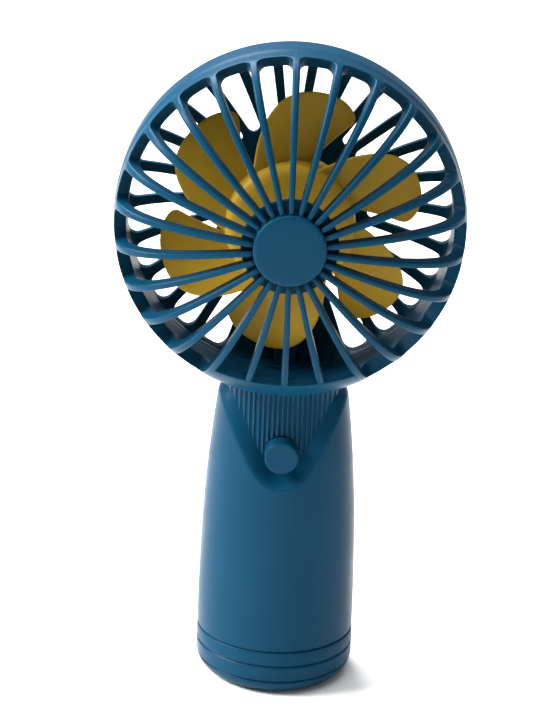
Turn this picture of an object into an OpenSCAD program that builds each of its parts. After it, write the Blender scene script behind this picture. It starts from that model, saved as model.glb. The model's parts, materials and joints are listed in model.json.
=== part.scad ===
// Handheld electric fan: a round caged head on an oval battery handle.
// Origin at the centre of the base. +Z is up and the front of the fan faces -Y.

/* [Head] */
// Outer diameter of the round head
head_d = 105; // [104:0.5:106]
// Height of the head's centre above the base
head_z = 149.5; // [149:0.5:152]
// Width of the plain band round the head, front to back
band_w = 12; // [12:0.5:13]
// How far the front grille bulges past the band
front_bulge = 26; // [25:0.5:27]
// How far the rear housing bulges past the band
rear_bulge = 17.2; // [17.2:0.2:19]
// Ribs in each grille
rib_count = 26; // [24:2:28]
// Depth of a front rib, front to back
rib_depth = 4; // [3.5:0.25:4.5]
// Radius of the plain disc at the middle of the front grille
disc_r = 10.6; // [10:0.2:12]

/* [Impeller] */
// Number of blades
blade_count = 6; // [5:1:7]
// Pitch of a blade in degrees
blade_pitch = 23; // [20:1:26]
// Thickness of a blade
blade_t = 1.3; // [1:0.1:1.6]
// Radius of the impeller's hub
hub_r = 19.3; // [19:0.1:20]

/* [Handle] */
// Half width of the handle at its base
base_half_w = 24.9; // [24.5:0.1:26]
// Depth of the handle divided by its width
oval_ratio = 0.86; // [0.85:0.01:0.9]
// How much fuller the front of the handle is than its back, at the base
front_fullness = 0.1; // [0:0.02:0.12]
// Radius of the rounded lower edge
foot_round = 6.5; // [5:0.5:7]
// How much narrower each side is at the neck than at the base
taper = 4.9; // [4.5:0.1:5]
// Height of the seam between the base cap and the sleeve
seam_z = 15.1; // [15:0.1:15.4]
// Height of the button's centre
button_z = 79.8; // [79:0.2:80.5]
// Radius of the button
button_r = 5.1; // [4.8:0.1:5.3]
// How far the button travels when pressed
button_travel = 1; // [0.5:0.1:1]

/* [Hidden] */
$fn = 96;

shell_color = [0.13, 0.40, 0.55];
blade_color = [0.78, 0.58, 0.10];
board_color = [0.10, 0.35, 0.18];
steel_color = [0.72, 0.73, 0.75];
black_color = [0.10, 0.10, 0.11];
copper_color = [0.72, 0.42, 0.20];
nickel_color = [0.80, 0.78, 0.72];
clear_color = [0.85, 0.90, 0.92];
ferrite_color = [0.30, 0.30, 0.31];
part_color = [0.55, 0.45, 0.30];
wrap_color = [0.20, 0.45, 0.30];
paper_color = [0.88, 0.86, 0.81];
led_color = [0.95, 0.95, 0.90];

eps = 0.05;
cut = 1;

// Head
head_r = head_d / 2;
band_front = 8;
band_back = band_w - band_front;
dome_r = head_r - 0.5;
dome_power = 0.8;
rear_power = 1;
front_wall = 4.2;
front_inner_r = head_r - front_wall;
skirt_outer_r = head_r - 2.3;
skirt_inner_r = head_r - 3.9;
socket_r = head_r - 2.1;
pitch = 360 / rib_count;
boss_r = disc_r + 3.6;
disc_proud = 0.5;
boss_t = 2.3;
front_rib_in = 1.6;
front_rib_out = 2.2;
band_shoulder = 1.2;
slot_rise = 0.6;
boss_lap = 0.3;
front_slot_r = head_r - 2.3;
apron_slot_r = 44.6;
apron_half = 28;
slot_corner = 2;
slot_run_in = 0.7;
seam_gap = 0.3;
rear_start = band_back + 1.3;
rear_dome_r = head_r - 0.3;
rear_wall = 2.4;
rear_slot_in_r = 24;
rear_slot_out_r = head_r - 3.1;
rear_slot_half_in = 1.9;
rear_slot_half_out = 4.1;
rear_corner = 3;
rear_slot_rise = 0.6;
panel_half = 20;
lug_count = 6;
first_lug = 30;
lug_root = 0.2;
lug_w = 6;
lug_t = 0.5;
lug_h = 1.2;
lug_v = 2.1;
lug_play = 0.2;

// Motor, along the head's axis. Distances run from the head's middle plane to the back.
motor_front = -3.5;
motor_back = 15;
motor_r = 12;
can_wall = 0.8;
can_front_t = 1;
end_cap_t = 1.8;
bush_r = 2.5;
rear_bush_r = 2;
bush_in = 0.5;
rear_bush_in = 0.8;
rear_bush_out = 0.6;
cap_spigot = 1.5;
cap_recess = 3;
shaft_r = 1;
shaft_play = 0.04;
shaft_front = -10.4;
shaft_back = 16.9;
rotor_r = 7.4;
rotor_from = 0;
rotor_to = 9;
pole_count = 3;
pole_core_r = 2.6;
pole_half_w = 1.2;
pole_shoe_t = 1.2;
pole_shoe = [12, 15];
coil_half_w = 2.3;
coil_from = 3.1;
coil_to = 5.5;
coil_over = 1.2;
commutator_r = 2.3;
commutator_from = 10.6;
commutator_to = 13.4;
commutator_slot = 0.2;
commutator_slot_depth = 0.6;
magnet_in_r = 7.9;
magnet_play = 0.05;
magnet_angle = 130;
magnet_over = 2;
terminal_x = 7.2;
terminal_t = 0.5;
terminal_half_w = 1.1;
terminal_from = 14;
terminal_to = 18.2;
brush_gap = 0.3;
brush_t = 0.4;
brush_half_w = 1.2;
cup_play = 0.1;
cup_wall = 1.5;
cup_shoulder_r = 10.5;
cup_shoulder_t = 1.4;
retainer_t = 0.8;
retainer_screw_r = 14.9;
retainer_boss_r = 1.6;
retainer_pilot_r = 0.7;
retainer_boss_len = 9;
retainer_screw_len = 5;
retainer_hole_r = 5.5;
retainer_head_r = 1.35;
retainer_head_t = 0.9;
screw_play = 0.15;

// Duct that takes the motor's leads down to the neck
duct_half_w = 5.25;
duct_front = 8.6;
duct_lap = 0.5;
duct_skin = 1;
channel_half_w = 2.6;
channel_front = 10.6;
channel_back = 14.2;
channel_deep_to = 26;
channel_to = 44;
exit_from = 41;
exit_to = 47.6;
exit_back = 12.2;
chamber_back = 19.4;

// Impeller
hub_front = 12.8;
hub_back = -2.5;
hub_wall = 1.8;
hub_front_t = 2;
hub_round = 2.5;
hub_boss_r = 3;
washer_t = 0.3;
washer_gap = 0.05;
washer_inset = 0.3;
bush_proud = 1.7;
blade_mid = 3;

// Neck
core_a = 18.2;
core_b = 15.7;
core_wall = 1.8;
core_from = 66;
core_cavity_top = 93;
flute_pitch = 1.47;
flute_depth = 0.6;
flute_count = 24;
core_over = 12;
button_round = 0.6;
button_face_gap = 1.2;
button_hole_play = 0.25;
button_pad_r = 7.8;
button_pad_back = -12.4;
button_face = -20.5;
flange_r = 6.2;
flange_front = -12.1;
flange_t = 0.8;
stub_half_w = 9;
stub_front = 0.5;
stub_back = 7.5;
stub_from = 93.1;
stub_play = 0.2;
stub_hole_front = 2.2;
stub_hole_back = 5.8;
neck_screw_x = 6.2;
neck_screw_z = 95.6;
neck_screw_r = 0.85;
neck_screw_head_r = 2.1;
neck_screw_seat = 12.6;
neck_screw_tip = 2.2;
neck_pilot_extra = 0.4;
neck_screw_play = 0.3;
neck_head_play = 0.2;
neck_screw_head_t = 1.5;
head_gap = 0.05;
sleeve_head_gap = 0.5;

// Handle sleeve and base cap
taper_power = 2.75;
neck_z = 95;
sleeve_top = 98.4;
sleeve_round_z = 93.6;
sleeve_round_in = 3.2;
sleeve_wall = 2;
core_gap = 0.15;
oval_points = 72;
groove_depth = 0.6;
groove_half = 0.4;
cap_grooves = [5.2, 10.3];
foot_heights = [0, 0.2, 0.8, 1.7, 2.9, 4];
front_full_z = 70;
cap_floor = 2.4;
cap_lip_t = 1.2;
cap_lip_top = 16.8;
scoop_top_z = 104;
scoop_outer = -19.6;
scoop_inner = -14.6;
scoop_outer_x = 20.2;
scoop_inner_x = 17.6;
scoop_outer_bottom = 70.5;
scoop_inner_bottom = 74;
scoop_side_r = 1;
scoop_outer_r = 8;
scoop_inner_r = 5.8;
scoop_far = 12;
scoop_near = -2;
scoop_fn = 32;
cap_post_x = 14.5;
cap_post_r = 3;
cap_screw_r = 1;
cap_screw_head_r = 2.2;
cap_screw_seat = 11;
cap_screw_tip = 26;
cap_screw_head_t = 1.8;
cap_screw_play = 0.25;
cap_head_play = 0.2;
cap_post_from = 1;
charge_post_r = 2;
lip_gap = 0.1;
seam_edge = 0.5;

// Battery
cell_r = 9.05;
wrap_r = 9.25;
battery_y = 3.5;
battery_from = 23.2;
battery_to = 88.2;
contact_t = 0.5;
cradle_r = 9.45;
cradle_wall = 1.4;
cradle_floor = 21.2;
cradle_top = 62;
cradle_gap_half = 50;
cradle_foot = 16;
cradle_boss_top = 40;
cradle_web_half = 1;
cradle_web_in = 10;
cell_top_r = 3.2;
cell_top_h = 0.7;
wrap_inset = 0.3;
insulator_r = 8.5;
insulator_hole_r = 3.6;
insulator_t = 0.25;
tab_half_w = 2;
tab_top_x = 5;
contact_top_r = 3;
contact_bottom_r = 4;
tab_x = 5;
tab_front = -3.5;
tab_t = 0.4;
tab_below = 0.3;
tab_slot = [4, 5, 5];
tab_slot_at = [3, -8];

// Main board, standing behind the button
board_front = -8.1;
board_back = -6.9;
board_from = 68.5;
board_to = 89.5;
board_half_w = 9.5;
board_screw_x = 8;
board_screw_z = 72;
board_screw_r = 0.7;
switch_half = 3.1;
switch_gap = 0.4;
switch_front = flange_front + flange_t + button_travel + switch_gap;
plunger_r = 1.6;
plunger_play = 0.15;
plunger_in = 0.3;
board_boss_r = 1.9;
board_screw_depth = 3;
board_hole_play = 0.2;
small_head_r = 1.5;
small_head_t = 1;

// Parts on the main board
chip_w = 5;
chip_h = 3.9;
chip_t = 1.5;
chip_z = 69.4;
pin_count = 8;
pin_pitch = 1.25;
pin_w = 0.4;
pin_l = 0.5;
pin_t = 0.4;
small_part = [1.6, 0.6, 0.9];
small_part_x = 1.4;
small_part_pitch = 1.6;
diode = [1.8, 1, 3.2];
diode_x = 3.8;
socket_half_w = 4.6;
socket_t = 3.2;
socket_from = 86.6;
socket_to = 89.2;
socket_holes = [-3.4, -1.4, 1.4];
socket_hole = 1.4;
socket_skin = 0.9;
socket_depth = 1.2;

// Charging board, lying in the base
charge_from = 15.6;
charge_to = 17.2;
charge_half_w = 11;
charge_front = -8;
charge_back = 14;
charge_screw_x = 8;
charge_screw_y = -5;
charge_screw_depth = 4;
charge_chip_at = [-3, -3];
charge_chip_size = [4, 4, 1.4];
inductor_at = [-3.5, 3.5];
inductor_size = [5, 5, 2.4];
usb_half_w = 4.5;
usb_h = 3.2;
usb_from = 12.6;
usb_to = 20;
usb_wall = 0.35;
usb_back_wall = 1.5;
tongue_half_w = 3.2;
tongue_half_h = 0.35;
tongue_short = 0.6;
port_play = 0.2;
led_x = 9.5;
led_y = 11;
led_size = [1.6, 1.6, 1.8];
pipe_r = 0.95;
pipe_z = 18.9;
pipe_to = 19.3;
pipe_play = 0.1;

// Leads, as points by hand along each route
lead_r = 0.55;
lead_sides = 8;
motor_lead_route = [
    [7.4, 18.8, 0], [6.4, 18.8, -4], [3.4, 18.8, -8], [1.8, 18.8, -10.4], [1.4, 18.4, -13],
    [1.4, 17, -18], [1.4, 13.3, -24.6], [1.4, 12.4, -30], [1.4, 12.4, -38], [1.4, 11.4, -43.6],
    [1.4, 8.4, -46.2],
    [1.4, 5, -48.4], [1.4, 4, -52], [1.4, 3.4, -57], [1.4, 0, -58.5], [1.4, -6, -58.6],
    [1.4, -9.2, -59], [1.4, -9.8, -60.2]
];
battery_red_route = [
    [-3.8, 2, 89.8], [-4.2, -1, 91], [-4, -6, 91.4], [-3.6, -9.2, 90.8], [-3.4, -9.8, 89.3]
];
battery_black_route = [
    [5.5, -2.5, 20.4], [7.4, -8.2, 22.5], [8, -8.4, 28], [8, -8.4, 50], [7, -8, 60],
    [5, -6.3, 68], [5, -6.25, 76]
];
charge_lead_route = [
    [10.2, -2.6, 17.8], [11.8, -4.4, 19.8], [13.4, -7, 24], [13.4, -7, 44], [12.6, -6, 64],
    [11, -5.6, 72], [8.8, -6.25, 79]
];
charge_lead_split = 1.4;

// Half width of the handle at height z
function handle_a(z) = base_half_w - taper * pow(z / neck_z, taper_power);

// Depth of the front half divided by its width, at height z
function front_ratio(z) = oval_ratio + front_fullness * pow(max(1 - z / front_full_z, 0), 2);

// One ring of a loft: height, half width, depth to the back and depth to the front
function handle_ring(z, inset) = [z, handle_a(z) - inset, handle_a(z) * oval_ratio - inset,
    handle_a(z) * front_ratio(z) - inset];

// How far the rounded lower edge stands in at height z
function foot_inset(z) = z < foot_round
    ? foot_round - sqrt(foot_round * foot_round - (foot_round - z) * (foot_round - z)) : 0;

// Outline of a dome that starts at w = start and rises by bulge, from its rim to its axis
function dome(r, start, bulge, power = dome_power, steps = 9) =
    [for (i = [0:steps]) let (t = 90 * i / steps)
        [r * pow(cos(t), dome_power), start + bulge * pow(sin(t), power)]];

function reversed(list) = [for (i = [len(list) - 1:-1:0]) list[i]];

function arc(x, y, r, from, to, steps) =
    [for (i = [0:steps]) let (t = from + (to - from) * i / steps) [x + r * cos(t), y + r * sin(t)]];

// Points on a curve from a to c that bends towards b, without its last point
function bend(a, b, c, steps = 5) =
    [for (i = [0:steps - 1]) let (t = i / steps)
        (1 - t) * (1 - t) * a + 2 * t * (1 - t) * b + t * t * c];

// Radial slot with a round inner end and rounded outer corners
function slot_points(r_in, r_out, half_in, half_out, corner) = concat(
    arc(0, r_in + half_in, half_in, 180, 360, 6),
    arc(half_out - corner, r_out - corner, corner, 0, 90, 4),
    arc(corner - half_out, r_out - corner, corner, 90, 180, 4)
);

// Moves a shape drawn round +Z, front up, to the head, so that it faces -Y
module at_head() {
    translate([0, 0, head_z]) rotate([90, 0, 0]) children();
}

// Cylinder along the head's axis between two distances to the back
module axle(r, from, to) {
    translate([0, from, head_z]) rotate([-90, 0, 0]) cylinder(r = r, h = to - from);
}

// Cylinder along Y at a place on the handle
module peg(x, z, r, from, to) {
    translate([x, from, z]) rotate([-90, 0, 0]) cylinder(r = r, h = to - from);
}

module block(low, high) {
    translate(low) cube(high - low);
}

module oval(a, b) {
    polygon([for (i = [0:oval_points - 1]) let (t = 360 * i / oval_points) [a * cos(t), b * sin(t)]]);
}

// Solid through a stack of ovals
module oval_loft(rings) {
    count = len(rings);
    points = [for (ring = rings) for (i = [0:oval_points - 1]) let (t = 360 * i / oval_points)
        [ring[1] * cos(t), (t > 180 ? ring[3] : ring[2]) * sin(t), ring[0]]];
    walls = [for (k = [0:count - 2]) for (i = [0:oval_points - 1])
        let (j = (i + 1) % oval_points, low = k * oval_points, high = (k + 1) * oval_points)
        each [[low + i, high + i, high + j], [low + i, high + j, low + j]]];
    floor_face = [for (i = [0:oval_points - 1]) i];
    roof_face = [for (i = [oval_points - 1:-1:0]) (count - 1) * oval_points + i];
    polyhedron(points = points, faces = concat([floor_face], walls, [roof_face]));
}

function unit(v) = v / norm(v);

// Round wire through a list of points
module wire(route) {
    last = len(route) - 1;
    points = [for (k = [0:last])
        let (along = unit(route[min(k + 1, last)] - route[max(k - 1, 0)]),
            side = unit(cross(along, [1, 0.3, 0])),
            up = cross(along, side))
        for (i = [0:lead_sides - 1]) let (t = 360 * i / lead_sides)
            route[k] + lead_r * (cos(t) * side + sin(t) * up)];
    walls = [for (k = [0:last - 1]) for (i = [0:lead_sides - 1])
        let (j = (i + 1) % lead_sides, low = k * lead_sides, high = (k + 1) * lead_sides)
        each [[low + i, high + i, high + j], [low + i, high + j, low + j]]];
    start = [for (i = [0:lead_sides - 1]) i];
    end = [for (i = [lead_sides - 1:-1:0]) last * lead_sides + i];
    polyhedron(points = points, faces = concat([start], walls, [end]));
}

// Outside of the whole head, grown by gap, to cut a saddle with
module head_envelope(gap) {
    front = dome(dome_r + gap, band_front, front_bulge + gap);
    back = dome(rear_dome_r + gap, rear_start, rear_bulge + gap, rear_power);
    at_head() rotate_extrude() polygon(concat(
        [for (p = reversed(back)) [p[0], -p[1]]],
        [[head_r + gap, -band_back], [head_r + gap, band_front - cut]],
        front
    ));
}

// ---- Head ----

module front_band() {
    outer = dome(dome_r, band_front, front_bulge);
    inner = dome(front_inner_r, band_front, front_bulge - rib_depth);
    rotate_extrude() polygon(concat(
        [[head_r, -band_back], [head_r, band_front - band_shoulder]],
        outer,
        reversed(inner),
        [[front_inner_r, 0], [socket_r, 0], [socket_r, -band_back]]
    ));
}

module front_slot(r_out) {
    half_in = disc_r * sin(pitch / 2) - front_rib_in / 2;
    half_out = r_out * sin(pitch / 2) - front_rib_out / 2;
    translate([0, 0, band_front + slot_rise])
        linear_extrude(front_bulge + cut)
            polygon(slot_points(disc_r - slot_run_in, r_out, half_in, half_out, slot_corner));
}

module snap_lugs(r, w, t, h) {
    for (i = [0:lug_count - 1])
        rotate(first_lug + i * 360 / lug_count)
            translate([r + t / 2, 0, -lug_v]) cube([t, w, h], center = true);
}

module front_grille() {
    color(shell_color) difference() {
        at_head() {
            difference() {
                front_band();
                for (i = [0:rib_count - 1])
                    let (turn = (i + 0.5) * pitch, low = abs(turn - 180) < apron_half)
                        rotate(turn) front_slot(low ? apron_slot_r : front_slot_r);
                snap_lugs(socket_r - lug_play, lug_w + lug_play * 2, lug_t + lug_play * 3,
                    lug_h + lug_play * 2);
            }
            translate([0, 0, band_front + front_bulge - rib_depth])
                cylinder(r = disc_r, h = rib_depth + disc_proud);
            translate([0, 0, band_front + front_bulge - rib_depth - boss_t + boss_lap])
                cylinder(r = boss_r, h = boss_t);
        }
        block([-stub_half_w - stub_play, -eps, head_z - head_r - cut],
            [stub_half_w + stub_play, band_back + cut, head_z - front_inner_r + cut]);
    }
}

module rear_shell() {
    outer = dome(rear_dome_r, rear_start, rear_bulge, rear_power);
    inner = dome(rear_dome_r - rear_wall, rear_start, rear_bulge - rear_wall, rear_power);
    rotate_extrude() polygon(concat(
        [[skirt_inner_r, seam_gap], [skirt_outer_r, seam_gap], [skirt_outer_r, band_back + seam_gap],
            [rear_dome_r, band_back + seam_gap]],
        outer,
        reversed(inner),
        [[skirt_inner_r, rear_start]]
    ));
}

module rear_slot() {
    translate([0, 0, rear_start + rear_slot_rise])
        linear_extrude(rear_bulge + cut)
            polygon(slot_points(rear_slot_in_r, rear_slot_out_r, rear_slot_half_in,
                rear_slot_half_out, rear_corner));
}

// Places a child at each of the motor retainer's three screws
module at_retainer_screws() {
    for (turn = [90, 210, 330])
        translate([retainer_screw_r * cos(turn), 0, retainer_screw_r * sin(turn)]) children();
}

module motor_cup() {
    difference() {
        union() {
            axle(motor_r + cup_play + cup_wall, motor_front, chamber_back + duct_skin);
            at_retainer_screws() axle(retainer_boss_r, motor_front, motor_front + retainer_boss_len);
        }
        axle(motor_r + cup_play, motor_front - cut, motor_back + end_cap_t);
        axle(cup_shoulder_r, motor_front - cut, chamber_back + duct_skin + cut);
        axle(motor_r + cup_play, motor_back + end_cap_t + cup_shoulder_t,
            chamber_back + duct_skin + cut);
        at_retainer_screws()
            axle(retainer_pilot_r, motor_front - cut, motor_front + retainer_screw_len + cut);
        block([-channel_half_w, motor_back + end_cap_t, head_z - motor_r - cup_wall - cut],
            [channel_half_w, chamber_back, head_z - cup_shoulder_r + cut]);
    }
}

module wire_duct() {
    top = head_z - motor_r - duct_skin;
    difference() {
        intersection() {
            block([-duct_half_w, duct_front, head_z - skirt_inner_r - duct_lap],
                [duct_half_w, motor_back + head_r, top]);
            at_head() mirror([0, 0, 1]) rotate_extrude()
                polygon(concat([[0, 0], [rear_dome_r - duct_skin, 0]],
                    dome(rear_dome_r - duct_skin, rear_start, rear_bulge - duct_skin, rear_power)));
        }
        axle(motor_r + cup_play, motor_front, motor_back + head_r);
        block([-channel_half_w, channel_front, head_z - channel_deep_to],
            [channel_half_w, chamber_back, top + cut]);
        block([-channel_half_w, channel_front, head_z - channel_to],
            [channel_half_w, channel_back, top + cut]);
        block([-channel_half_w, duct_front - cut, head_z - exit_to],
            [channel_half_w, exit_back, head_z - exit_from]);
    }
}

module neck_stub() {
    difference() {
        block([-stub_half_w, stub_front, stub_from],
            [stub_half_w, stub_back, head_z - skirt_inner_r + cut]);
        at_head() cylinder(r = skirt_inner_r, h = band_w * 2, center = true);
    }
}

module rear_housing() {
    color(shell_color) difference() {
        union() {
            at_head() mirror([0, 0, 1]) difference() {
                union() {
                    rear_shell();
                    mirror([0, 0, 1]) snap_lugs(skirt_outer_r - 0.2, lug_w, lug_t + 0.2, lug_h);
                }
                for (i = [0:rib_count - 1])
                    let (turn = i * pitch)
                        if (abs(turn - 180) > panel_half) rotate(turn) rear_slot();
            }
            motor_cup();
            wire_duct();
            neck_stub();
        }
        block([-channel_half_w, stub_hole_front, stub_from - cut],
            [channel_half_w, stub_hole_back, head_z - skirt_inner_r + cut]);
        for (side = [-1, 1])
            peg(side * neck_screw_x, neck_screw_z, neck_screw_r, neck_screw_tip - neck_pilot_extra,
                stub_back + cut);
    }
}

// ---- Impeller ----

module hub() {
    rotate_extrude() polygon(concat(
        [[0, hub_front]],
        reversed(arc(hub_r - hub_round, hub_front - hub_round, hub_round, 0, 90, 5)),
        [[hub_r, hub_back], [hub_r - hub_wall, hub_back],
            [hub_r - hub_wall, hub_front - hub_front_t], [0, hub_front - hub_front_t]]
    ));
    translate([0, 0, -motor_front + bush_proud + washer_t + washer_gap * 2])
        cylinder(r = hub_boss_r,
            h = hub_front - hub_front_t + motor_front - bush_proud - washer_t - washer_gap * 2 + eps);
}

// Outline of one blade as seen from the front, with the head's centre at the origin
function blade_outline() = concat(
    bend([-13.6, 11.4], [-16, 25], [-12.6, 32.3]),
    bend([-12.6, 32.3], [-9.5, 39.8], [-1, 40.1]),
    bend([-1, 40.1], [6, 40.2], [10, 36.8]),
    bend([10, 36.8], [14.2, 33.2], [11.6, 30.6]),
    bend([11.6, 30.6], [6.5, 25.6], [0.6, 16.5])
);

module blade() {
    translate([0, 0, blade_mid]) rotate([0, blade_pitch, 0])
        linear_extrude(blade_t, center = true)
            polygon([for (p = blade_outline()) [p[0] / cos(blade_pitch), p[1]]]);
}

module impeller() {
    color(blade_color) at_head() difference() {
        union() {
            hub();
            difference() {
                for (i = [0:blade_count - 1]) rotate(-10 - i * 360 / blade_count) blade();
                cylinder(r = hub_r - hub_wall / 2, h = head_r, center = true);
            }
        }
        cylinder(r = shaft_r, h = -shaft_front);
    }
}

// ---- Motor ----

module motor_can() {
    color(steel_color) difference() {
        axle(motor_r, motor_front, motor_back);
        axle(motor_r - can_wall, motor_front + can_front_t, motor_back + cut);
        axle(bush_r, motor_front - cut, motor_back);
    }
}

module motor_end_cap() {
    color(black_color) difference() {
        union() {
            axle(motor_r, motor_back, motor_back + end_cap_t);
            axle(motor_r - can_wall, motor_back - cap_spigot, motor_back + eps);
        }
        axle(motor_r - cap_recess, motor_back - cap_spigot - cut, motor_back);
        axle(rear_bush_r, motor_back - cut, motor_back + end_cap_t + cut);
        for (side = [-1, 1])
            block([side * (terminal_x + terminal_t / 2) - terminal_t / 2, motor_back - cut,
                    head_z - terminal_half_w],
                [side * (terminal_x + terminal_t / 2) + terminal_t / 2, motor_back + end_cap_t + cut,
                    head_z + terminal_half_w]);
    }
}

module motor_front_bush() {
    color(copper_color) difference() {
        axle(bush_r, motor_front - bush_proud, motor_front + can_front_t + bush_in);
        axle(shaft_r + shaft_play, motor_front - bush_proud - cut, motor_front + can_front_t + cut);
    }
}

module motor_rear_bush() {
    color(copper_color) difference() {
        axle(rear_bush_r, motor_back - rear_bush_in, motor_back + end_cap_t + rear_bush_out);
        axle(shaft_r + shaft_play, motor_back - cut, motor_back + end_cap_t + cut);
    }
}

module motor_magnets() {
    color(black_color) translate([0, rotor_to + magnet_over, head_z]) rotate([90, 0, 0])
        for (turn = [0, 180])
            rotate(turn - magnet_angle / 2) rotate_extrude(angle = magnet_angle)
                translate([magnet_in_r, 0])
                    square([motor_r - can_wall - magnet_play - magnet_in_r,
                        rotor_to - rotor_from + magnet_over * 2]);
}

module motor_brushes() {
    color(copper_color) for (side = [0, 180])
        translate([0, 0, head_z]) rotate([0, side, 0]) {
            block([commutator_r + brush_gap, commutator_from + brush_t, -brush_half_w],
                [commutator_r + brush_gap + brush_t, terminal_from + brush_t, brush_half_w]);
            block([commutator_r + brush_gap, terminal_from, -brush_half_w],
                [terminal_x, terminal_from + brush_t, brush_half_w]);
        }
}

module motor_terminals() {
    color(nickel_color) for (side = [0, 180])
        translate([0, 0, head_z]) rotate([0, side, 0])
            block([terminal_x, terminal_from, -terminal_half_w],
                [terminal_x + terminal_t, terminal_to, terminal_half_w]);
}

module motor_retainer() {
    color(steel_color) difference() {
        union() {
            axle(motor_r + cup_wall, motor_front - retainer_t, motor_front);
            at_retainer_screws() axle(retainer_boss_r, motor_front - retainer_t, motor_front);
        }
        axle(retainer_hole_r, motor_front - retainer_t - cut, motor_front + cut);
        at_retainer_screws()
            axle(retainer_pilot_r + screw_play, motor_front - retainer_t - cut, motor_front + cut);
    }
}

module motor_retainer_screws() {
    color(steel_color) at_retainer_screws() {
        axle(retainer_head_r, motor_front - retainer_t - retainer_head_t, motor_front - retainer_t);
        axle(retainer_pilot_r, motor_front - retainer_t, motor_front + retainer_screw_len);
    }
}

module motor_shaft() {
    color(steel_color) axle(shaft_r, shaft_front, shaft_back);
}

module thrust_washer() {
    color(nickel_color) difference() {
        axle(bush_r - washer_inset, motor_front - bush_proud - washer_t - washer_gap,
            motor_front - bush_proud - washer_gap);
        axle(shaft_r, shaft_front, 0);
    }
}

module rotor_core() {
    color(steel_color) difference() {
        translate([0, rotor_to, head_z]) rotate([90, 0, 0]) linear_extrude(rotor_to - rotor_from) {
            circle(r = pole_core_r);
            for (i = [0:pole_count - 1]) rotate(i * 360 / pole_count) {
                translate([0, -pole_half_w]) square([rotor_r - pole_shoe_t / 2, pole_half_w * 2]);
                intersection() {
                    difference() {
                        circle(r = rotor_r);
                        circle(r = rotor_r - pole_shoe_t);
                    }
                    polygon([[0, 0], [pole_shoe[0], -pole_shoe[1]], pole_shoe]);
                }
            }
        }
        axle(shaft_r, shaft_front, shaft_back);
    }
}

module rotor_windings() {
    color(copper_color) translate([0, 0, head_z])
        for (i = [0:pole_count - 1]) rotate([0, -i * 360 / pole_count, 0]) difference() {
            block([coil_from, rotor_from - coil_over, -coil_half_w],
                [coil_to, rotor_to + coil_over, coil_half_w]);
            block([pole_core_r, rotor_from, -pole_half_w], [rotor_r, rotor_to, pole_half_w]);
        }
}

module commutator() {
    color(copper_color) difference() {
        axle(commutator_r, commutator_from, commutator_to);
        axle(shaft_r, 0, shaft_back);
        for (turn = [60, 180, 300]) translate([0, 0, head_z]) rotate([0, turn, 0])
            block([commutator_r - commutator_slot_depth, commutator_from - cut, -commutator_slot],
                [commutator_r + cut, commutator_to + cut, commutator_slot]);
    }
}

// ---- Neck and button ----

module flutes() {
    for (i = [0:flute_count - 1])
        let (x = (i - (flute_count - 1) / 2) * flute_pitch, edge = -core_b * sqrt(1 - pow(x / core_a, 2)))
            translate([x - flute_pitch / 4, edge - cut]) square([flute_pitch / 2, cut + flute_depth]);
}

module neck_core() {
    color(shell_color) difference() {
        union() {
            difference() {
                translate([0, 0, core_from]) linear_extrude(neck_z + core_over - core_from) difference() {
                    oval(core_a, core_b);
                    flutes();
                }
                translate([0, 0, core_from - cut]) linear_extrude(core_cavity_top - core_from + cut)
                    oval(core_a - core_wall, core_b - core_wall);
            }
            peg(0, button_z, button_pad_r, -core_b + core_wall, button_pad_back);
            for (side = [-1, 1])
                peg(side * board_screw_x, board_screw_z, board_boss_r, -core_b + core_wall + button_face_gap,
                    board_front);
        }
        head_envelope(head_gap);
        peg(0, button_z, button_r + button_hole_play, -core_b - cut, button_pad_back + cut);
        block([-stub_half_w - stub_play, stub_front - stub_play, core_cavity_top - cut],
            [stub_half_w + stub_play, stub_back + stub_play, head_z]);
        for (side = [-1, 1]) {
            peg(side * neck_screw_x, neck_screw_z, neck_screw_r + neck_screw_play, stub_back, core_b);
            peg(side * neck_screw_x, neck_screw_z, neck_screw_head_r + neck_head_play, neck_screw_seat,
                core_b + cut);
            peg(side * board_screw_x, board_screw_z, board_screw_r, board_front - board_screw_depth,
                board_front + cut);
        }
    }
}

module button_cap() {
    color(shell_color) {
        translate([0, flange_front, button_z]) rotate([90, 0, 0]) rotate_extrude() polygon(concat(
            [[0, 0], [button_r, 0]],
            arc(button_r - button_round, flange_front - button_face - button_round, button_round, 0, 90, 4),
            [[0, flange_front - button_face]]
        ));
        peg(0, button_z, flange_r, flange_front, flange_front + flange_t);
    }
}

module switch_plunger() {
    color(black_color) peg(0, button_z, plunger_r, flange_front + flange_t, switch_front + plunger_in);
}

module switch_body() {
    color(nickel_color) difference() {
        block([-switch_half, switch_front, button_z - switch_half],
            [switch_half, board_front, button_z + switch_half]);
        peg(0, button_z, plunger_r + plunger_play, switch_front - cut, board_front + cut);
    }
}

module neck_screws() {
    color(steel_color) for (side = [-1, 1]) {
        peg(side * neck_screw_x, neck_screw_z, neck_screw_r, neck_screw_tip, neck_screw_seat);
        peg(side * neck_screw_x, neck_screw_z, neck_screw_head_r, neck_screw_seat,
            neck_screw_seat + neck_screw_head_t);
    }
}

// ---- Handle ----

// Outline of the opening in front of the fluted panel: a V with a round bottom
module scoop_layer(top_x, bottom_z, bottom_r, from, to) {
    for (side = [-1, 1]) peg(side * top_x, scoop_top_z, scoop_side_r, from, to, $fn = scoop_fn);
    peg(0, bottom_z + bottom_r, bottom_r, from, to, $fn = scoop_fn);
}

// Opens the sleeve round the fluted panel and the button, with a sloping edge
module scoop() {
    hull() {
        scoop_layer(scoop_outer_x, scoop_outer_bottom, scoop_outer_r, scoop_outer - scoop_far, scoop_outer);
        scoop_layer(scoop_inner_x, scoop_inner_bottom, scoop_inner_r, scoop_outer, scoop_inner);
    }
    hull() scoop_layer(scoop_inner_x, scoop_inner_bottom, scoop_inner_r, scoop_inner - eps, scoop_near);
}

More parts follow.
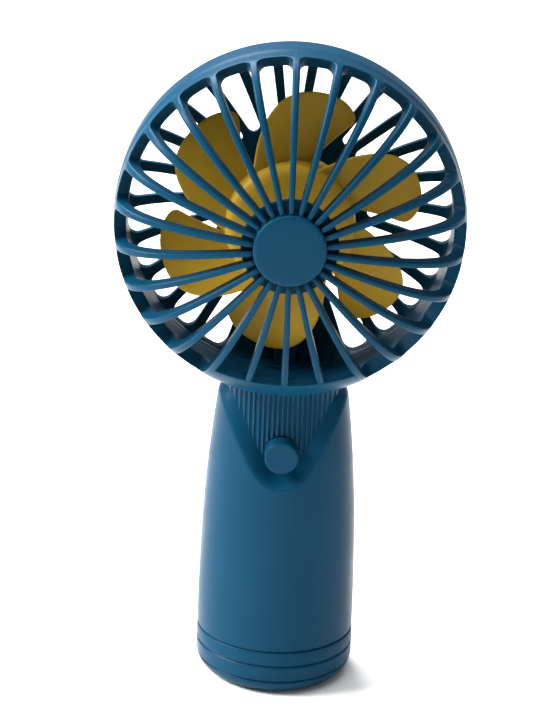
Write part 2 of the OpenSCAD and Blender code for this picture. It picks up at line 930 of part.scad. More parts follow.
module handle_sleeve() {
    body_rings = [for (i = [0:9])
        handle_ring(seam_z + seam_edge + (sleeve_round_z - cut - seam_z) * i / 9, 0)];
    round_rings = [for (t = [20:20:80])
        handle_ring(sleeve_round_z + (sleeve_top - sleeve_round_z) * sin(t),
            sleeve_round_in * (1 - cos(t)))];
    inner_rings = [for (i = [0:3])
        handle_ring(seam_z - cut + (core_from - seam_z + cut) * i / 3, sleeve_wall)];
    color(shell_color) difference() {
        oval_loft(concat([handle_ring(seam_z + eps, groove_depth)], body_rings, round_rings));
        oval_loft(inner_rings);
        translate([0, 0, core_from - cut]) linear_extrude(head_r)
            oval(core_a + core_gap, core_b + core_gap);
        scoop();
        head_envelope(sleeve_head_gap);
        usb_prism(usb_half_w + port_play, usb_h + port_play * 2, usb_from, base_half_w);
        peg(led_x, pipe_z, pipe_r + pipe_play, led_y, base_half_w);
    }
}

module base_cap() {
    foot = [for (z = foot_heights) handle_ring(z, foot_inset(z))];
    grooves = [for (z = cap_grooves) for (side = [-1:1]) let (at = z + side * groove_half)
        handle_ring(at, foot_inset(at) + (side == 0 ? groove_depth : 0))];
    color(shell_color) difference() {
        union() {
            difference() {
                oval_loft(concat(foot, grooves,
                    [handle_ring(seam_z - seam_edge, 0), handle_ring(seam_z, groove_depth)]));
                oval_loft([handle_ring(cap_floor, sleeve_wall + cap_lip_t),
                    handle_ring(seam_z + cut, sleeve_wall + cap_lip_t)]);
            }
            difference() {
                oval_loft([handle_ring(cap_floor, sleeve_wall + lip_gap),
                    handle_ring(cap_lip_top, sleeve_wall + lip_gap)]);
                oval_loft([handle_ring(cap_floor - cut, sleeve_wall + cap_lip_t),
                    handle_ring(cap_lip_top + cut, sleeve_wall + cap_lip_t)]);
            }
            for (side = [-1, 1]) {
                translate([side * cap_post_x, 0, cap_post_from])
                    cylinder(r = cap_post_r, h = cradle_foot - cap_post_from);
                translate([side * charge_screw_x, charge_screw_y, cap_post_from])
                    cylinder(r = charge_post_r, h = charge_from - cap_post_from);
            }
        }
        for (side = [-1, 1]) {
            translate([side * cap_post_x, 0, -cut]) {
                cylinder(r = cap_screw_head_r + cap_head_play, h = cap_screw_seat + cut);
                cylinder(r = cap_screw_r + cap_screw_play, h = cap_screw_tip);
            }
            translate([side * charge_screw_x, charge_screw_y, charge_from - charge_screw_depth - cut])
                cylinder(r = board_screw_r, h = charge_screw_depth + cut * 2);
        }
    }
}

module base_cap_screws() {
    color(steel_color) for (side = [-1, 1]) translate([side * cap_post_x, 0, 0]) {
        translate([0, 0, cap_screw_seat - cap_screw_head_t])
            cylinder(r = cap_screw_head_r, h = cap_screw_head_t);
        translate([0, 0, cap_screw_seat]) cylinder(r = cap_screw_r, h = cap_screw_tip - cap_screw_seat);
    }
}

// ---- Battery ----

module battery_cell() {
    color(steel_color) translate([0, battery_y, 0]) {
        translate([0, 0, battery_from]) cylinder(r = cell_r, h = battery_to - battery_from);
        translate([0, 0, battery_to]) cylinder(r = cell_top_r, h = cell_top_h);
    }
}

module battery_wrap() {
    color(wrap_color) translate([0, battery_y, battery_from + wrap_inset]) difference() {
        cylinder(r = wrap_r, h = battery_to - battery_from - wrap_inset * 2);
        translate([0, 0, -cut]) cylinder(r = cell_r, h = battery_to - battery_from + cut * 2);
    }
}

module battery_insulator() {
    color(paper_color) translate([0, battery_y, battery_to]) difference() {
        cylinder(r = insulator_r, h = insulator_t);
        translate([0, 0, -cut]) cylinder(r = insulator_hole_r, h = insulator_t + cut * 2);
    }
}

module battery_contact_top() {
    color(nickel_color) {
        translate([0, battery_y, battery_to + cell_top_h]) cylinder(r = contact_top_r, h = contact_t);
        block([-tab_top_x, battery_y - tab_half_w, battery_to + cell_top_h],
            [0, battery_y + tab_half_w, battery_to + cell_top_h + contact_t]);
    }
}

module battery_contact_bottom() {
    color(nickel_color) {
        translate([0, battery_y, battery_from - contact_t])
            cylinder(r = contact_bottom_r, h = contact_t);
        block([0, tab_front, battery_from - contact_t], [tab_x, battery_y, battery_from]);
        block([tab_x - tab_t, tab_front, cradle_floor - tab_below],
            [tab_x, tab_front + tab_half_w, battery_from - contact_t]);
    }
}

module battery_cradle() {
    color(black_color) {
        translate([0, battery_y, 0]) {
            rotate(-90 + cradle_gap_half) rotate_extrude(angle = 360 - cradle_gap_half * 2)
                translate([cradle_r, cradle_floor]) square([cradle_wall, cradle_top - cradle_floor]);
            translate([0, 0, cradle_floor]) difference() {
                cylinder(r = cradle_r + eps, h = battery_from - contact_t - cradle_floor);
                translate([tab_slot_at[0], tab_slot_at[1], -cut]) cube(tab_slot);
            }
        }
        for (side = [-1, 1]) difference() {
            union() {
                translate([side * cap_post_x, 0, cradle_foot])
                    cylinder(r = cap_post_r, h = cradle_boss_top - cradle_foot);
                block([min(side * cradle_web_in, side * cap_post_x), -cradle_web_half, cradle_floor],
                    [max(side * cradle_web_in, side * cap_post_x), cradle_web_half, cradle_boss_top]);
            }
            translate([side * cap_post_x, 0, cradle_foot - cut])
                cylinder(r = cap_screw_r, h = cap_screw_tip - cradle_foot + cut + seam_edge);
            translate([0, battery_y, cradle_floor - cut])
                cylinder(r = cradle_r, h = cradle_top - cradle_floor);
        }
    }
}

// ---- Electronics ----

module main_board() {
    color(board_color) difference() {
        block([-board_half_w, board_front, board_from], [board_half_w, board_back, board_to]);
        for (side = [-1, 1])
            peg(side * board_screw_x, board_screw_z, board_screw_r + board_hole_play, board_front - cut,
                board_back + cut);
    }
}

module board_screws() {
    color(steel_color) for (side = [-1, 1]) {
        peg(side * board_screw_x, board_screw_z, board_screw_r, board_front - board_screw_depth,
            board_back);
        peg(side * board_screw_x, board_screw_z, small_head_r, board_back, board_back + small_head_t);
    }
}

module driver_chip() {
    color(black_color) block([-chip_w, board_front - chip_t, chip_z], [0, board_front, chip_z + chip_h]);
    color(nickel_color) for (i = [0:pin_count / 2 - 1]) for (z = [chip_z - pin_l, chip_z + chip_h])
        let (x = -chip_w + pin_pitch * (i + 0.5))
            block([x - pin_w / 2, board_front - pin_t, z], [x + pin_w / 2, board_front, z + pin_l]);
}

module board_components() {
    color(part_color) for (i = [0:2]) let (z = chip_z + i * small_part_pitch)
        block([small_part_x, board_front - small_part[1], z],
            [small_part_x + small_part[0], board_front, z + small_part[2]]);
    color(black_color) block([diode_x, board_front - diode[1], chip_z],
        [diode_x + diode[0], board_front, chip_z + diode[2]]);
}

module lead_socket() {
    color(paper_color) difference() {
        block([-socket_half_w, board_front - socket_t, socket_from],
            [socket_half_w, board_front, socket_to]);
        for (x = socket_holes)
            block([x - socket_hole / 2, board_front - socket_t + socket_skin, socket_to - socket_depth],
                [x + socket_hole / 2, board_front - socket_skin, socket_to + cut]);
    }
}

module charge_board() {
    color(board_color) difference() {
        block([-charge_half_w, charge_front, charge_from], [charge_half_w, charge_back, charge_to]);
        for (side = [-1, 1]) translate([side * charge_screw_x, charge_screw_y, charge_from - cut])
            cylinder(r = board_screw_r + board_hole_play, h = charge_to - charge_from + cut * 2);
    }
}

module charge_board_screws() {
    color(steel_color) for (side = [-1, 1]) translate([side * charge_screw_x, charge_screw_y, 0]) {
        translate([0, 0, charge_from - charge_screw_depth])
            cylinder(r = board_screw_r, h = charge_screw_depth + charge_to - charge_from);
        translate([0, 0, charge_to]) cylinder(r = small_head_r, h = small_head_t);
    }
}

module charge_chip() {
    color(black_color) translate(concat(charge_chip_at, charge_to)) cube(charge_chip_size);
}

module charge_inductor() {
    color(ferrite_color) translate(concat(inductor_at, charge_to)) cube(inductor_size);
}

// Flat socket shape with round corners, along Y
module usb_prism(half_w, h, from, to) {
    mid = charge_to + usb_h / 2;
    r = h / 2;
    peg(half_w - r, mid, r, from, to);
    peg(r - half_w, mid, r, from, to);
    block([r - half_w, from, mid - r], [half_w - r, to, mid + r]);
}

module usb_shell() {
    color(steel_color) difference() {
        usb_prism(usb_half_w, usb_h, usb_from, usb_to);
        usb_prism(usb_half_w - usb_wall, usb_h - usb_wall * 2, usb_from + usb_back_wall, usb_to + cut);
    }
}

module usb_tongue() {
    mid = charge_to + usb_h / 2;
    color(black_color) block([-tongue_half_w, usb_from + usb_back_wall, mid - tongue_half_h],
        [tongue_half_w, usb_to - tongue_short, mid + tongue_half_h]);
}

module charge_led() {
    color(led_color) translate([led_x - led_size[0] / 2, led_y - led_size[1], charge_to]) cube(led_size);
}

module light_pipe() {
    color(clear_color) peg(led_x, pipe_z, pipe_r, led_y + pipe_play, pipe_to);
}

// ---- Leads ----

module motor_lead(side) {
    wire([for (p = motor_lead_route) [side * p[0], p[1], p[2] + head_z]]);
}

module motor_lead_red() {
    color("red") motor_lead(1);
}

module motor_lead_black() {
    color(black_color) motor_lead(-1);
}

module battery_lead_red() {
    color("red") wire(battery_red_route);
}

module battery_lead_black() {
    color(black_color) wire(battery_black_route);
}

module charge_lead_red() {
    color("red") wire([for (p = charge_lead_route) [-p[0], p[1], p[2]]]);
}

module charge_lead_black() {
    color(black_color) wire([for (p = charge_lead_route) [-p[0], p[1] + charge_lead_split, p[2]]]);
}

front_grille();
rear_housing();
neck_core();
handle_sleeve();
base_cap();
impeller();
motor_shaft();
rotor_core();
rotor_windings();
commutator();
thrust_washer();
motor_can();
motor_end_cap();
motor_front_bush();
motor_rear_bush();
motor_magnets();
motor_brushes();
motor_terminals();
motor_retainer();
motor_retainer_screws();
button_cap();
switch_plunger();
switch_body();
main_board();
board_screws();
driver_chip();
board_components();
lead_socket();
battery_cell();
battery_wrap();
battery_insulator();
battery_contact_top();
battery_contact_bottom();
battery_cradle();
charge_board();
charge_board_screws();
charge_chip();
charge_inductor();
usb_shell();
usb_tongue();
charge_led();
light_pipe();
motor_lead_red();
motor_lead_black();
battery_lead_red();
battery_lead_black();
charge_lead_red();
charge_lead_black();
neck_screws();
base_cap_screws();
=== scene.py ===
"""Handheld electric fan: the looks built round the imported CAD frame.

Design lengths are in millimetres, as in the CAD source, and become metres when a mesh is made.
The fan faces -Y. Head shapes are given by a radius, a clock angle from the top and a distance
towards the front from the head's middle plane.
"""
import json
import math

import bmesh
import bpy
import numpy as np
from mathutils import Matrix, Vector


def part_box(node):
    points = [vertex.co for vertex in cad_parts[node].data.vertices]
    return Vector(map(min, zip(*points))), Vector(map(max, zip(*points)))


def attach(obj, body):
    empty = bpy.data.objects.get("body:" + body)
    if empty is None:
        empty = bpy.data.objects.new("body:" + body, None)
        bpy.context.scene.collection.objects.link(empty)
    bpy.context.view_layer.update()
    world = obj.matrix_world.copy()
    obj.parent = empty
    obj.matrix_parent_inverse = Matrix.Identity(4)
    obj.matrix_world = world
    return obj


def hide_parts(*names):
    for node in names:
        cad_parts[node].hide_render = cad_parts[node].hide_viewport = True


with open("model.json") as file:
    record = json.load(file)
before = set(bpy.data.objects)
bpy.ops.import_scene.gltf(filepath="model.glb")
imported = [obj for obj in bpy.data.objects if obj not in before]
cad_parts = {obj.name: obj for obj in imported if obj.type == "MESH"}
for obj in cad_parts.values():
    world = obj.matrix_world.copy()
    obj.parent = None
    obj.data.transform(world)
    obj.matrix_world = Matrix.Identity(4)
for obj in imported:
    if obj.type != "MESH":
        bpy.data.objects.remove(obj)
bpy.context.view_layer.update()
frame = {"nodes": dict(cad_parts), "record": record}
MM = 0.001
SLIVER = 0.004 * MM


# ---- Sizes, from the frame ----

def box_mm(node):
    low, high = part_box(node)
    return np.array(low) / MM, np.array(high) / MM


grille_low, grille_high = box_mm("front_grille")
HEAD_R = (grille_high[0] - grille_low[0]) / 2
HEAD_Z = grille_high[2] - HEAD_R
BAND_FRONT = 8.0
BAND_BACK = grille_high[1]
FRONT_W = -grille_low[1]
BACK_W = box_mm("rear_housing")[1][1]
sleeve_low, sleeve_high = box_mm("handle_sleeve")
SEAM_Z = sleeve_low[2]
SLEEVE_TOP = sleeve_high[2]
cap_high = box_mm("base_cap")[1]
BASE_A = cap_high[0]
OVAL = cap_high[1] / cap_high[0]
button_low, button_high = box_mm("button_cap")
BUTTON_Z = (button_low[2] + button_high[2]) / 2
BUTTON_FACE = -button_low[1]
core_low, core_high = box_mm("neck_core")
CORE_A = core_high[0]
CORE_B = -core_low[1]
port_low, port_high = box_mm("usb_shell")

RIBS = 26
PITCH = 2 * math.pi / RIBS
DOME_POWER = 0.8


# ---- Mesh helpers ----

class Shape:
    """Vertices in millimetres and faces, gathered from grids."""

    def __init__(self):
        self.points = []
        self.faces = []

    def add(self, points):
        start = len(self.points)
        self.points.extend(np.asarray(points, float).reshape(-1, 3).tolist())
        return start

    def grid(self, rows, wrap=False, loop=False):
        """Quads between rows of points. wrap closes each row, loop joins the last row to the first."""
        rows = np.asarray(rows, float)
        count, width = rows.shape[:2]
        start = self.add(rows)
        for i in range(count if loop else count - 1):
            for j in range(width if wrap else width - 1):
                a = start + i * width + j
                b = start + i * width + (j + 1) % width
                c = start + ((i + 1) % count) * width + (j + 1) % width
                d = start + ((i + 1) % count) * width + j
                self.faces.append((a, b, c, d))


def make(name, shape, levels=1):
    """A smooth closed mesh object from a Shape."""
    mesh = bpy.data.meshes.new(name)
    mesh.from_pydata([[c * MM for c in p] for p in shape.points], [], shape.faces)
    work = bmesh.new()
    work.from_mesh(mesh)
    bmesh.ops.remove_doubles(work, verts=work.verts, dist=SLIVER)
    bmesh.ops.holes_fill(work, edges=[e for e in work.edges if e.is_boundary], sides=0)
    bmesh.ops.recalc_face_normals(work, faces=work.faces)
    work.to_mesh(mesh)
    work.free()
    mesh.polygons.foreach_set("use_smooth", [True] * len(mesh.polygons))
    piece = bpy.data.objects.new(name, mesh)
    bpy.context.scene.collection.objects.link(piece)
    if levels:
        smooth = piece.modifiers.new("smooth", "SUBSURF")
        smooth.levels = smooth.render_levels = levels
    return piece


def circle(steps):
    """Angles of a full turn in equal steps."""
    return np.arange(steps) * 2 * math.pi / steps


def head_points(r, clock, w):
    """Points on the head from radius, clock angle and distance to the front."""
    r, clock, w = np.broadcast_arrays(np.asarray(r, float), clock, w)
    return np.stack([r * np.sin(clock), -w, HEAD_Z + r * np.cos(clock)], axis=-1)


def turned(shape, profile, steps, loop=False):
    """Revolves (radius, w) points about the head's axis."""
    clock = circle(steps)
    shape.grid([head_points(r, clock, w) for r, w in profile], wrap=True, loop=loop)


def tube(shape, profile, centre, steps, loop=False):
    """Revolves (radius, w) points about an axis along Y through an (x, z) point."""
    ring = circle(steps)
    shape.grid([np.stack([centre[0] + r * np.sin(ring), np.full(steps, -w),
                          centre[1] + r * np.cos(ring)], axis=-1) for r, w in profile],
               wrap=True, loop=loop)


def post(shape, profile, x, steps, loop=False):
    """Revolves (radius, z) points about an upright axis at x."""
    ring = circle(steps)
    shape.grid([np.stack([x + r * np.sin(ring), r * np.cos(ring), np.full(steps, z)], axis=-1)
                for r, z in profile], wrap=True, loop=loop)


def spun(points, turn):
    """Points turned clockwise about the head's axis."""
    cos, sin = math.cos(turn), math.sin(turn)
    x, y, up = points[..., 0], points[..., 1], points[..., 2] - HEAD_Z
    return np.stack([x * cos + up * sin, y, HEAD_Z - x * sin + up * cos], axis=-1)


def dome(r, start, bulge, t):
    """Superellipse dome: t is 0 at the rim and a right angle on the axis."""
    t = np.clip(np.asarray(t, float), 0, math.pi / 2)
    return r * np.cos(t) ** DOME_POWER, start + bulge * np.sin(t) ** DOME_POWER


def dome_t(share):
    """The dome's t at a share of its rim radius."""
    return np.arccos(np.clip(share, 0, 1) ** (1 / DOME_POWER))


def mix(a, b, f):
    return a + (b - a) * f


def smooth_step(x):
    x = np.clip(x, 0, 1)
    return x * x * (3 - 2 * x)


# ---- Front grille ----

BAND_WALL = 4.2
BAND_IN = HEAD_R - BAND_WALL
SKIRT_IN = HEAD_R - 2.1
# A dome is its rim radius, where it starts and how far it bulges.
FRONT_OUT = (HEAD_R - 0.5, BAND_FRONT, FRONT_W - 0.5 - BAND_FRONT)
FRONT_IN = (BAND_IN, BAND_FRONT, FRONT_W - 4.5 - BAND_FRONT)
DISC_R = 10.6
BOSS_R = 14.2
SLOT_END_T = math.radians(7.9)
SLOT_CORNER = 2.3
EDGE_ROUND = 0.5
EDGE_DROP = 0.35
RIM_STEP = SLOT_END_T / BAND_WALL
SECTOR_ROWS = 10
APRON_R = 44.5
APRON_BOW = 1.4
APRON_WALL = 2.3
APRON_PROUD = 0.03
APRON_HALF = 2 * PITCH


def arc_table():
    """t against the distance along the front dome from the slots' outer end."""
    t = np.linspace(SLOT_END_T, math.radians(89.5), 600)
    r, w = dome(*FRONT_OUT, t)
    s = np.concatenate([[0], np.cumsum(np.hypot(np.diff(r), np.diff(w)))])
    return s, t


def rib_half(r):
    """Half a rib's width at a radius."""
    return mix(0.78, 1.1, np.clip((r - 10) / 40, 0, 1))


def front_sector(shape, turn):
    """One slot of the front grille with half a rib on each side. Rows run from the outside, over the
    slot's edge, down its wall and under the rib to the inside."""
    table_s, table_t = arc_table()
    t_start = dome_t((DISC_R - 1) / FRONT_OUT[0])
    corner_t = np.interp(SLOT_CORNER, table_s, table_t)
    side_t = np.linspace(t_start, corner_t, 15)
    side_s = np.interp(side_t, table_t, table_s)
    corner = np.radians(np.linspace(0, 90, 9))[1:]
    end_share = np.linspace(0, 1, 4)[1:]
    end_r = dome(*FRONT_OUT, SLOT_END_T)[0]
    end_half = end_r * PITCH / 2 - rib_half(end_r)

    s = np.concatenate([side_s, SLOT_CORNER * (1 - np.sin(corner)), 0 * end_share])
    x = np.concatenate([0 * side_s, SLOT_CORNER * (1 - np.cos(corner)),
                        mix(SLOT_CORNER, end_half, end_share)])
    normal_x = np.concatenate([-1 + 0 * side_s, -np.cos(corner), 0 * end_share])
    normal_s = np.concatenate([0 * side_s, -np.sin(corner), -1 + 0 * end_share])
    share = np.concatenate([0 * side_s, corner / (math.pi / 2), 1 + 0 * end_share])
    half_corner = len(side_s) + 3

    def on_top(x, s):
        t = np.interp(s, table_s, table_t)
        t = np.where(s < 0, SLOT_END_T + s * RIM_STEP, t)
        r, w = dome(*FRONT_OUT, t)
        return r, -PITCH / 2 + (rib_half(r) + x) / r, w

    def middle_line(r, w):
        """Outline of the sector: along the rib's middle, then round the rim."""
        t_path = np.concatenate([np.interp(side_s, table_s, table_t),
                                 corner_t * np.linspace(1, 0, 5)[1:]])
        path_r, path_w = dome(r, BAND_FRONT, w, t_path)
        clock_top = on_top(x, s)[1]
        round_clock = clock_top[half_corner + 1:]
        clock = np.concatenate([np.full(len(t_path), -PITCH / 2), round_clock])
        clock[half_corner + 1:half_corner + 5] = mix(-PITCH / 2, clock_top[half_corner + 4],
                                                     np.linspace(0, 1, 5)[1:])
        return (np.concatenate([path_r, np.full(len(round_clock), path_r[-1])]), clock,
                np.concatenate([path_w, np.full(len(round_clock), path_w[-1])]))

    top_r, top_clock, top_w = on_top(x, s)
    t_line = np.interp(s, table_s, table_t)
    under_r, under_w = dome(*FRONT_IN, t_line)
    ease = smooth_step(share)
    low_r = mix(under_r, BAND_IN, ease)
    low_w = mix(under_w, BAND_FRONT + 2, ease)
    side_clock = -PITCH / 2 + (rib_half(top_r) + x) / under_r
    low_clock = mix(side_clock, top_clock, ease)

    edge = head_points(top_r, top_clock, top_w - EDGE_DROP)
    low = head_points(low_r, low_clock, low_w)
    support = head_points(*on_top(x + normal_x * EDGE_ROUND, s + normal_s * EDGE_ROUND))
    outer = head_points(*middle_line(FRONT_OUT[0], FRONT_OUT[2]))
    under_clock = low_clock + normal_x * 0.4 / low_r
    under = head_points(low_r, under_clock, low_w + normal_s * 0.5)
    inner = head_points(*middle_line(FRONT_IN[0], FRONT_IN[2]))
    rows = [outer, mix(outer, support, 0.5), support, edge, mix(edge, low, 0.13),
            mix(edge, low, 0.5), mix(edge, low, 0.87), low, under, inner]
    half = np.array(rows)
    flip = half[:, :-1][:, ::-1] * (-1, 1, 1)
    shape.grid(spun(np.concatenate([half, flip], axis=1), turn))
    return half_corner


def rim_clocks():
    """Clock angles of the front slots' points round the rim, for one turn."""
    probe = Shape()
    start = front_sector(probe, 0)
    width = len(probe.points) // SECTOR_ROWS
    first = np.array(probe.points[:width])[start:width - start]
    return np.arctan2(first[:, 0], first[:, 2] - HEAD_Z)


def front_cage():
    """Ribs and slots of the front dome, with the outer band and its skirt."""
    shape = Shape()
    for k in range(RIBS):
        front_sector(shape, (k + 0.5) * PITCH)
    one = rim_clocks()
    clock = np.concatenate([one[:-1] + (k + 0.5) * PITCH for k in range(RIBS)])
    band = [(FRONT_OUT[0], BAND_FRONT), (HEAD_R - 0.22, BAND_FRONT - 0.9),
            (HEAD_R, BAND_FRONT - 2.2), (HEAD_R, BAND_FRONT - 5), (HEAD_R, 2 - BAND_BACK),
            (HEAD_R, 0.5 - BAND_BACK), (HEAD_R - 0.05, 0.12 - BAND_BACK), (HEAD_R - 0.25, -BAND_BACK),
            (SKIRT_IN + 1, -BAND_BACK), (SKIRT_IN + 0.1, -BAND_BACK), (SKIRT_IN, 0.1 - BAND_BACK),
            (SKIRT_IN, 1 - BAND_BACK), (SKIRT_IN, -0.6), (SKIRT_IN - 0.05, -0.05),
            (SKIRT_IN - 0.5, 0), (BAND_IN + 0.3, 0), (BAND_IN + 0.05, 0.1), (BAND_IN, 0.6),
            (BAND_IN, BAND_FRONT - 1.5), (BAND_IN, BAND_FRONT)]
    shape.grid([head_points(r, clock, w) for r, w in band], wrap=True)
    return make("cage_front", shape)


def front_disc():
    """Centre disc, and the boss behind it that takes the ribs."""
    shape = Shape()
    face = FRONT_W - 0.04
    plate = FRONT_W - 4.2
    profile = [(0.6, face), (4, face - 0.02), (8, face - 0.1), (9.7, face - 0.2), (10.35, face - 0.38),
               (DISC_R, face - 0.75), (DISC_R, face - 1.3), (DISC_R, plate + 0.35),
               (10.75, plate + 0.06), (11.1, plate), (13.4, plate), (14, plate - 0.1),
               (BOSS_R, plate - 0.4), (BOSS_R, plate - 1.7), (14, plate - 2.15), (13.4, plate - 2.3),
               (5, plate - 2.3), (0.6, plate - 2.3)]
    turned(shape, profile, steps=64)
    return make("cage_disc", shape)


def front_apron():
    """Solid part of the front dome above the neck."""
    shape = Shape()
    clock = np.linspace(-APRON_HALF, APRON_HALF, 49)
    edge_r = APRON_R + APRON_BOW * (clock / APRON_HALF) ** 2
    edge_t = dome_t(edge_r / FRONT_OUT[0])
    outer = (FRONT_OUT[0] + APRON_PROUD, BAND_FRONT, FRONT_OUT[2] + APRON_PROUD)
    inner = (FRONT_OUT[0] - APRON_WALL, BAND_FRONT, FRONT_OUT[2] - APRON_WALL)

    def skin(size, share):
        r, w = dome(*size, edge_t * share)
        return head_points(r, math.pi + clock, w)

    near = 0.985
    out_edge, in_edge = skin(outer, 1), skin(inner, 1)
    rows = [skin(outer, near * f) for f in np.linspace(0, 1, 12)]
    rows += [mix(out_edge, in_edge, f) for f in (0.0, 0.22, 0.5, 0.78, 1.0)]
    rows += [skin(inner, near * f) for f in np.linspace(1, 0, 12)]
    shape.grid(rows, loop=True)
    return make("cage_apron", shape)


# ---- Rear housing ----

REAR_START = BAND_BACK + 1.3
REAR_WALL = 2.4
REAR_OUT = (HEAD_R - 0.3, REAR_START, BACK_W - REAR_START)
REAR_IN = (REAR_OUT[0] - REAR_WALL, REAR_START, REAR_OUT[2] - REAR_WALL)
REAR_SLOT = dict(r_in=24.0, r_out=HEAD_R - 3.1, half_in=1.9, half_out=4.1, corner=3.0)
REAR_RING_IN = 21.5
# Shares of a dome's rim radius: where its skin meets the rim, and the most that a slot's edge may reach.
SHARE_OUT, SHARE_IN = 0.9955, 0.9992
SHARE_MOST = 0.9985
SKIRT_OUT = HEAD_R - 2.3
LIP_IN = SKIRT_OUT - 1.6


def rear_dome(size, t):
    """Like dome, with a plain ellipse's rise."""
    return dome(*size, t)[0], size[1] + size[2] * np.sin(t)


def rear_sector(shape, turn, is_open):
    """One sector of the rear housing, with or without its slot. Returns the outer rows of half of it
    and the columns where its inner arc ends and its rim begins."""
    g = REAR_SLOT
    inner_arc = np.radians(np.linspace(270, 180, 7))
    side = np.linspace(0, 1, 9)[1:-1]
    outer_arc = np.radians(np.linspace(180, 90, 7))
    end = np.linspace(0, 1, 3)[1:]
    centre_in = g["r_in"] + g["half_in"]
    centre_out = g["r_out"] - g["corner"]
    x = np.concatenate([g["half_in"] * np.cos(inner_arc), -mix(g["half_in"], g["half_out"], side),
                        g["corner"] - g["half_out"] + g["corner"] * np.cos(outer_arc),
                        mix(g["corner"] - g["half_out"], 0, end)])
    r = np.concatenate([centre_in + g["half_in"] * np.sin(inner_arc), mix(centre_in, centre_out, side),
                        centre_out + g["corner"] * np.sin(outer_arc), g["r_out"] + 0 * end])
    out_x = np.concatenate([np.cos(inner_arc), -1 + 0 * side, np.cos(outer_arc), 0 * end])
    out_r = np.concatenate([np.sin(inner_arc), 0 * side, np.sin(outer_arc), 1 + 0 * end])
    n_in, n_side, n_out = len(inner_arc), len(side), len(outer_arc)
    turn_in, turn_out = n_in // 2, n_in + n_side + n_out // 2

    def outline(dome_size, rim_share):
        """The sector's own edge: inner arc, side, then outer arc."""
        low_t = dome_t(REAR_RING_IN / dome_size[0])
        rim_t = dome_t(rim_share)
        angle = np.full(len(x), -PITCH / 2)
        angle[:turn_in + 1] = np.linspace(0, -PITCH / 2, turn_in + 1)
        angle[turn_out:] = np.linspace(-PITCH / 2, 0, len(x) - turn_out)
        t_slot = dome_t(np.clip(r / dome_size[0], 0, SHARE_MOST))
        t = np.array(t_slot)
        t[:turn_in + 1] = low_t
        t[turn_out:] = rim_t
        first, last = n_in, n_in + n_side - 1
        t[turn_in:first + 1] = np.linspace(low_t, t_slot[first], first + 1 - turn_in)
        t[last:turn_out + 1] = np.linspace(t_slot[last], rim_t, turn_out + 1 - last)
        edge_r, w = rear_dome(dome_size, t)
        return head_points(edge_r, angle, -w)

    def skin(dome_size, x, r):
        r = np.hypot(r, x)
        w = rear_dome(dome_size, dome_t(np.clip(r / dome_size[0], 0, SHARE_MOST)))[1]
        return head_points(r, np.arctan2(x, np.sqrt(np.maximum(r * r - x * x, 1))), -w)

    outer = outline(REAR_OUT, SHARE_OUT)
    inner = outline(REAR_IN, SHARE_IN)
    top = skin(REAR_OUT, x, r)
    low = skin(REAR_IN, x, r)
    top_support = skin(REAR_OUT, x + out_x * 0.45, r + out_r * 0.45)
    low_support = skin(REAR_IN, x + out_x * 0.35, r + out_r * 0.3)
    if is_open:
        rows = [outer, mix(outer, top_support, 0.5), top_support, top, mix(top, low, 0.2),
                mix(top, low, 0.8), low, low_support, mix(low_support, inner, 0.5), inner]
        half_sets = [np.array(rows)]
    else:
        line_r = np.clip(r, centre_in, centre_out)
        half_sets = []
        for size, edge, support, face in ((REAR_OUT, outer, top_support, top),
                                          (REAR_IN, inner, low_support, low)):
            rows = [edge, mix(edge, support, 0.5), support, face]
            rows += [skin(size, x * f, mix(line_r, r, f)) for f in (0.5, 0.0)]
            half_sets.append(np.array(rows))
    for half in half_sets:
        shape.grid(spun(half, turn))
        shape.grid(spun(half[:, ::-1] * (-1, 1, 1), turn))
    return half_sets[0], turn_in, turn_out


def rear_cage():
    """Rear dome with its slots, closed middle and the lip inside the front skirt."""
    shape = Shape()
    for k in range(RIBS):
        rear_sector(shape, k * PITCH, abs(k - RIBS // 2) > 1)
    half, turn_in, turn_out = rear_sector(Shape(), 0, True)

    def clocks(points):
        """Clock angles of a half sector's edge, for one turn."""
        angle = np.sort(np.arctan2(points[:, 0], points[:, 2] - HEAD_Z))
        full = np.concatenate([angle, -angle[::-1][1:]])
        return np.concatenate([full[:-1] + k * PITCH for k in range(RIBS)])

    rim_clock = clocks(half[0][turn_out:])
    hub_clock = clocks(half[0][:turn_in + 1])
    rim_r, rim_w = rear_dome(REAR_OUT, dome_t(SHARE_OUT))
    in_r, in_w = rear_dome(REAR_IN, dome_t(SHARE_IN))
    seam = BAND_BACK + 0.3
    wall = [(rim_r, rim_w), (REAR_OUT[0], REAR_START), (REAR_OUT[0], seam + 0.35),
            (REAR_OUT[0] - 0.12, seam + 0.06), (REAR_OUT[0] - 0.45, seam), (SKIRT_OUT + 0.4, seam),
            (SKIRT_OUT, seam - 0.1), (SKIRT_OUT, seam - 0.8), (SKIRT_OUT, 1.0), (SKIRT_OUT - 0.1, 0.4),
            (SKIRT_OUT - 0.5, 0.3), (LIP_IN + 0.4, 0.3), (LIP_IN + 0.05, 0.45), (LIP_IN, 1.1),
            (LIP_IN, REAR_START - 1.2), (LIP_IN + 0.4, REAR_START - 0.1), (in_r, in_w)]
    shape.grid([head_points(r, rim_clock, -w) for r, w in wall], wrap=True)
    for size in (REAR_OUT, REAR_IN):
        rows = []
        for share in (1.0, 0.86, 0.6, 0.3, 0.1):
            r = REAR_RING_IN * share
            rows.append(head_points(r, hub_clock, -rear_dome(size, dome_t(r / size[0]))[1]))
        shape.grid(rows, wrap=True)
    return make("cage_rear", shape)


# ---- Motor cup, lead duct and neck stub of the rear housing ----

